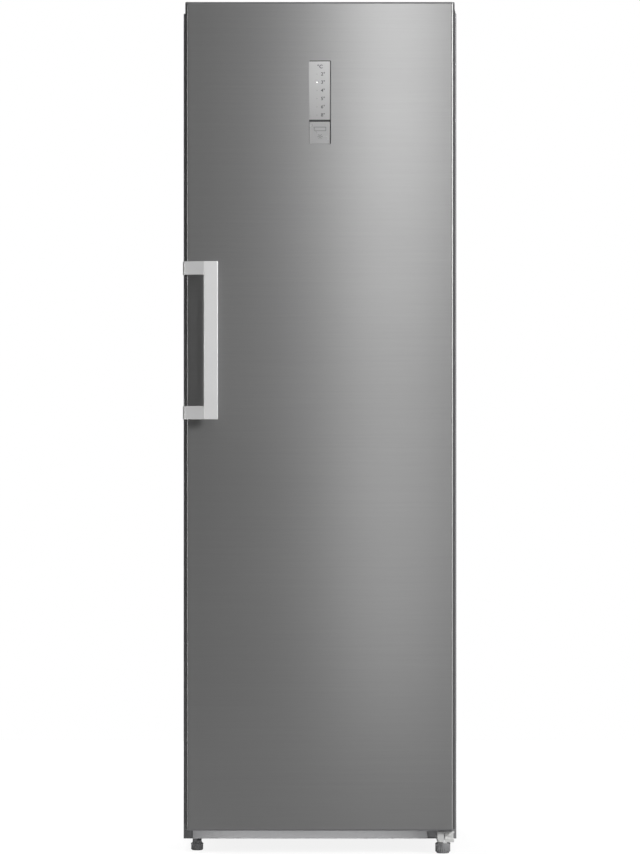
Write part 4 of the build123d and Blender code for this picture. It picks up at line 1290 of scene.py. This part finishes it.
class FRIDGE_OT_machine_bay(bpy.types.Operator):
    """Compressor, its tray and mounts, pipes, drip tray and slotted cover"""

    bl_idname = "fridge.machine_bay"
    bl_label = "Machine bay"

    def execute(self, context):
        round_piece("compressor", "compressor_can")
        round_piece("compressor_tray", "bay_tray")
        round_piece("compressor_mounts", "rubber_feet")
        round_piece("refrigerant_pipes", "copper_pipes")
        round_piece("condenser", "condenser_tube")
        round_piece("compressor_cover", "bay_cover")
        eased_piece("drip_tray", "defrost_tray", 0.5)
        eased_piece("control_box", "control_housing", 0.8)
        eased_piece("start_relay", "relay_housing", 0.5)
        eased_piece("power_inlet", "cable_gland", 0.5)
        return {"FINISHED"}


# Studio

FLOOR_REACH = 2.6
FLOOR_COLOUR = (0.30, 0.30, 0.30, 1)
FLOOR_GLOW = 1.75
FLOOR_GLOW_SHARE = 0.5

# Name, place, target, width and height, power, whether it is mirrored, whether it lights surfaces
LAMPS = (
    ("key", (0.190, -1.7, 2.05), (0.160, -0.3, 1.7), (0.22, 1.3), 4.05, True, True),
    ("key_tail", (0.180, -1.7, 0.85), (0.160, -0.3, 0.8), (0.22, 1.2), 1.55, True, True),
    ("sun_side", (3.5, -3.8, 2.4), (0.0, -0.3, 0.9), (0.9, 1.1), 262, True, True),
    ("left_rim", (-3.2, -3.0, 1.2), (-0.3, -0.3, 1.0), (0.16, 2.4), 52, True, False),
    ("floor_bounce", (-0.02, -0.305, 0.003), (-0.02, -0.235, 0.045), (0.50, 0.02), 0.19, False, True),
    ("left_side", (-3.4, 1.4, 1.8), (-0.3, 0.1, 0.9), (1.0, 2.0), 110, False, True),
    ("right_side", (3.4, 1.4, 1.6), (0.3, 0.1, 0.9), (0.8, 2.2), 60, False, True),
    ("over", (0.0, 0.2, 3.8), (0.0, 0.1, 1.8), (2.2, 2.2), 42, True, True),
    ("behind", (-0.8, 3.8, 2.4), (0.0, 0.3, 0.9), (1.6, 1.6), 150, False, True),
)


def area_lamp(name, place, target, size, power, mirrored, lighting):
    """A soft lamp aimed at a point, which may light surfaces, be mirrored in them, or both."""
    data = bpy.data.lights.new(name, "AREA")
    data.shape = "RECTANGLE"
    data.size, data.size_y = size
    data.energy = power
    lamp = bpy.data.objects.new(name, data)
    lamp.location = place
    lamp.visible_camera = False
    lamp.visible_glossy = mirrored
    lamp.visible_diffuse = lighting
    lamp.rotation_euler = (Vector(target) - Vector(place)).to_track_quat("-Z", "Y").to_euler()
    bpy.context.scene.collection.objects.link(lamp)


def blend_by(tree, share, plain, seen, output):
    """Blend a surface that most rays see into another by a share that depends on the ray."""
    mix = tree.nodes.new("ShaderNodeMixShader")
    tree.links.new(share, mix.inputs["Fac"])
    tree.links.new(plain.outputs[0], mix.inputs[1])
    tree.links.new(seen.outputs[0], mix.inputs[2])
    tree.links.new(mix.outputs[0], output.inputs["Surface"])


def direct_rays(tree, rays):
    """A mask of the rays that see a surface straight or through glass."""
    return math_node(tree, "MAXIMUM", rays["Is Camera Ray"], rays["Is Transmission Ray"])


def white_floor():
    """A floor that is white where it is seen and grey to the light, and keeps the shadow."""
    material = bpy.data.materials.new("floor_white")
    material.use_nodes = True
    tree = material.node_tree
    tree.nodes.clear()
    output = tree.nodes.new("ShaderNodeOutputMaterial")
    glow = tree.nodes.new("ShaderNodeEmission")
    glow.inputs["Color"].default_value = WHITE
    glow.inputs["Strength"].default_value = FLOOR_GLOW
    diffuse = tree.nodes.new("ShaderNodeBsdfDiffuse")
    diffuse.inputs["Color"].default_value = FLOOR_COLOUR
    seen = direct_rays(tree, tree.nodes.new("ShaderNodeLightPath").outputs)
    blend_by(tree, math_node(tree, "MULTIPLY", seen, FLOOR_GLOW_SHARE), diffuse, glow, output)
    mesh = bpy.data.meshes.new("floor")
    corners = [(x * FLOOR_REACH, y * FLOOR_REACH, 0) for x, y in ((-1, -1), (1, -1), (1, 1), (-1, 1))]
    mesh.from_pydata(corners, [], [(0, 1, 2, 3)])
    new_object("floor", mesh, material)


def dim_room(level, mirror_share):
    """Even light all round, white where it is seen, of which metals mirror a share."""
    world = bpy.data.worlds.new("studio_room")
    world.use_nodes = True
    tree = world.node_tree
    tree.nodes.clear()
    output = tree.nodes.new("ShaderNodeOutputWorld")
    room = tree.nodes.new("ShaderNodeBackground")
    white = tree.nodes.new("ShaderNodeBackground")
    for background, strength in ((room, level), (white, 1.0)):
        background.inputs["Color"].default_value = WHITE
        background.inputs["Strength"].default_value = strength
    rays = tree.nodes.new("ShaderNodeLightPath").outputs
    mirrored = math_node(tree, "MULTIPLY", rays["Is Glossy Ray"], mirror_share)
    seen = math_node(tree, "MAXIMUM", direct_rays(tree, rays), mirrored)
    blend_by(tree, seen, room, white, output)
    return world


def front_camera(studio):
    """A level camera straight before the door."""
    data = bpy.data.cameras.new("camera")
    data.sensor_fit = "HORIZONTAL"
    data.angle = 2 * math.atan(studio.seen_width / 2 / studio.camera_distance)
    camera = bpy.data.objects.new("camera", data)
    door_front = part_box("door_skin")[0][1]
    camera.location = (0, door_front - studio.camera_distance, studio.camera_height)
    camera.rotation_euler = (math.radians(90), 0, 0)
    bpy.context.scene.collection.objects.link(camera)
    return camera


class FRIDGE_OT_studio(bpy.types.Operator):
    """Floor, backdrop, lamps and camera"""

    bl_idname = "fridge.studio"
    bl_label = "Studio"

    def execute(self, context):
        scene = context.scene
        studio = scene.fridge_studio
        white_floor()
        scene.world = dim_room(studio.world_level, studio.mirror_share)
        for lamp in LAMPS:
            area_lamp(*lamp)
        scene.camera = front_camera(studio)
        scene.view_settings.view_transform = "Standard"
        return {"FINISHED"}


BUILD_ORDER = (
    FRIDGE_OT_door,
    FRIDGE_OT_handle,
    FRIDGE_OT_panel,
    FRIDGE_OT_cabinet,
    FRIDGE_OT_hinges,
    FRIDGE_OT_feet,
    FRIDGE_OT_inside,
    FRIDGE_OT_balconies,
    FRIDGE_OT_drawers,
    FRIDGE_OT_machine_bay,
    FRIDGE_OT_studio,
)


class FRIDGE_PT_pieces(bpy.types.Panel):
    """The refrigerator's pieces and settings"""

    bl_idname = "FRIDGE_PT_pieces"
    bl_label = "Refrigerator"
    bl_space_type = "VIEW_3D"
    bl_region_type = "UI"
    bl_category = "Refrigerator"

    def draw(self, context):
        for name, group in SETTINGS:
            box = self.layout.box()
            box.label(text=group.__doc__)
            for label in group.__annotations__:
                box.prop(getattr(context.scene, name), label)
        for operator in BUILD_ORDER:
            self.layout.operator(operator.bl_idname)


CLASSES = tuple(group for name, group in SETTINGS) + BUILD_ORDER + (FRIDGE_PT_pieces,)


def register():
    for made in CLASSES:
        bpy.utils.register_class(made)
    for name, group in SETTINGS:
        setattr(bpy.types.Scene, name, bpy.props.PointerProperty(type=group))


def unregister():
    for name, group in SETTINGS:
        delattr(bpy.types.Scene, name)
    for made in reversed(CLASSES):
        bpy.utils.unregister_class(made)


def main():
    """Build every piece and the studio."""
    register()
    for operator in BUILD_ORDER:
        group, name = operator.bl_idname.split(".")
        getattr(getattr(bpy.ops, group), name)()


if __name__ == "__main__":
    main()
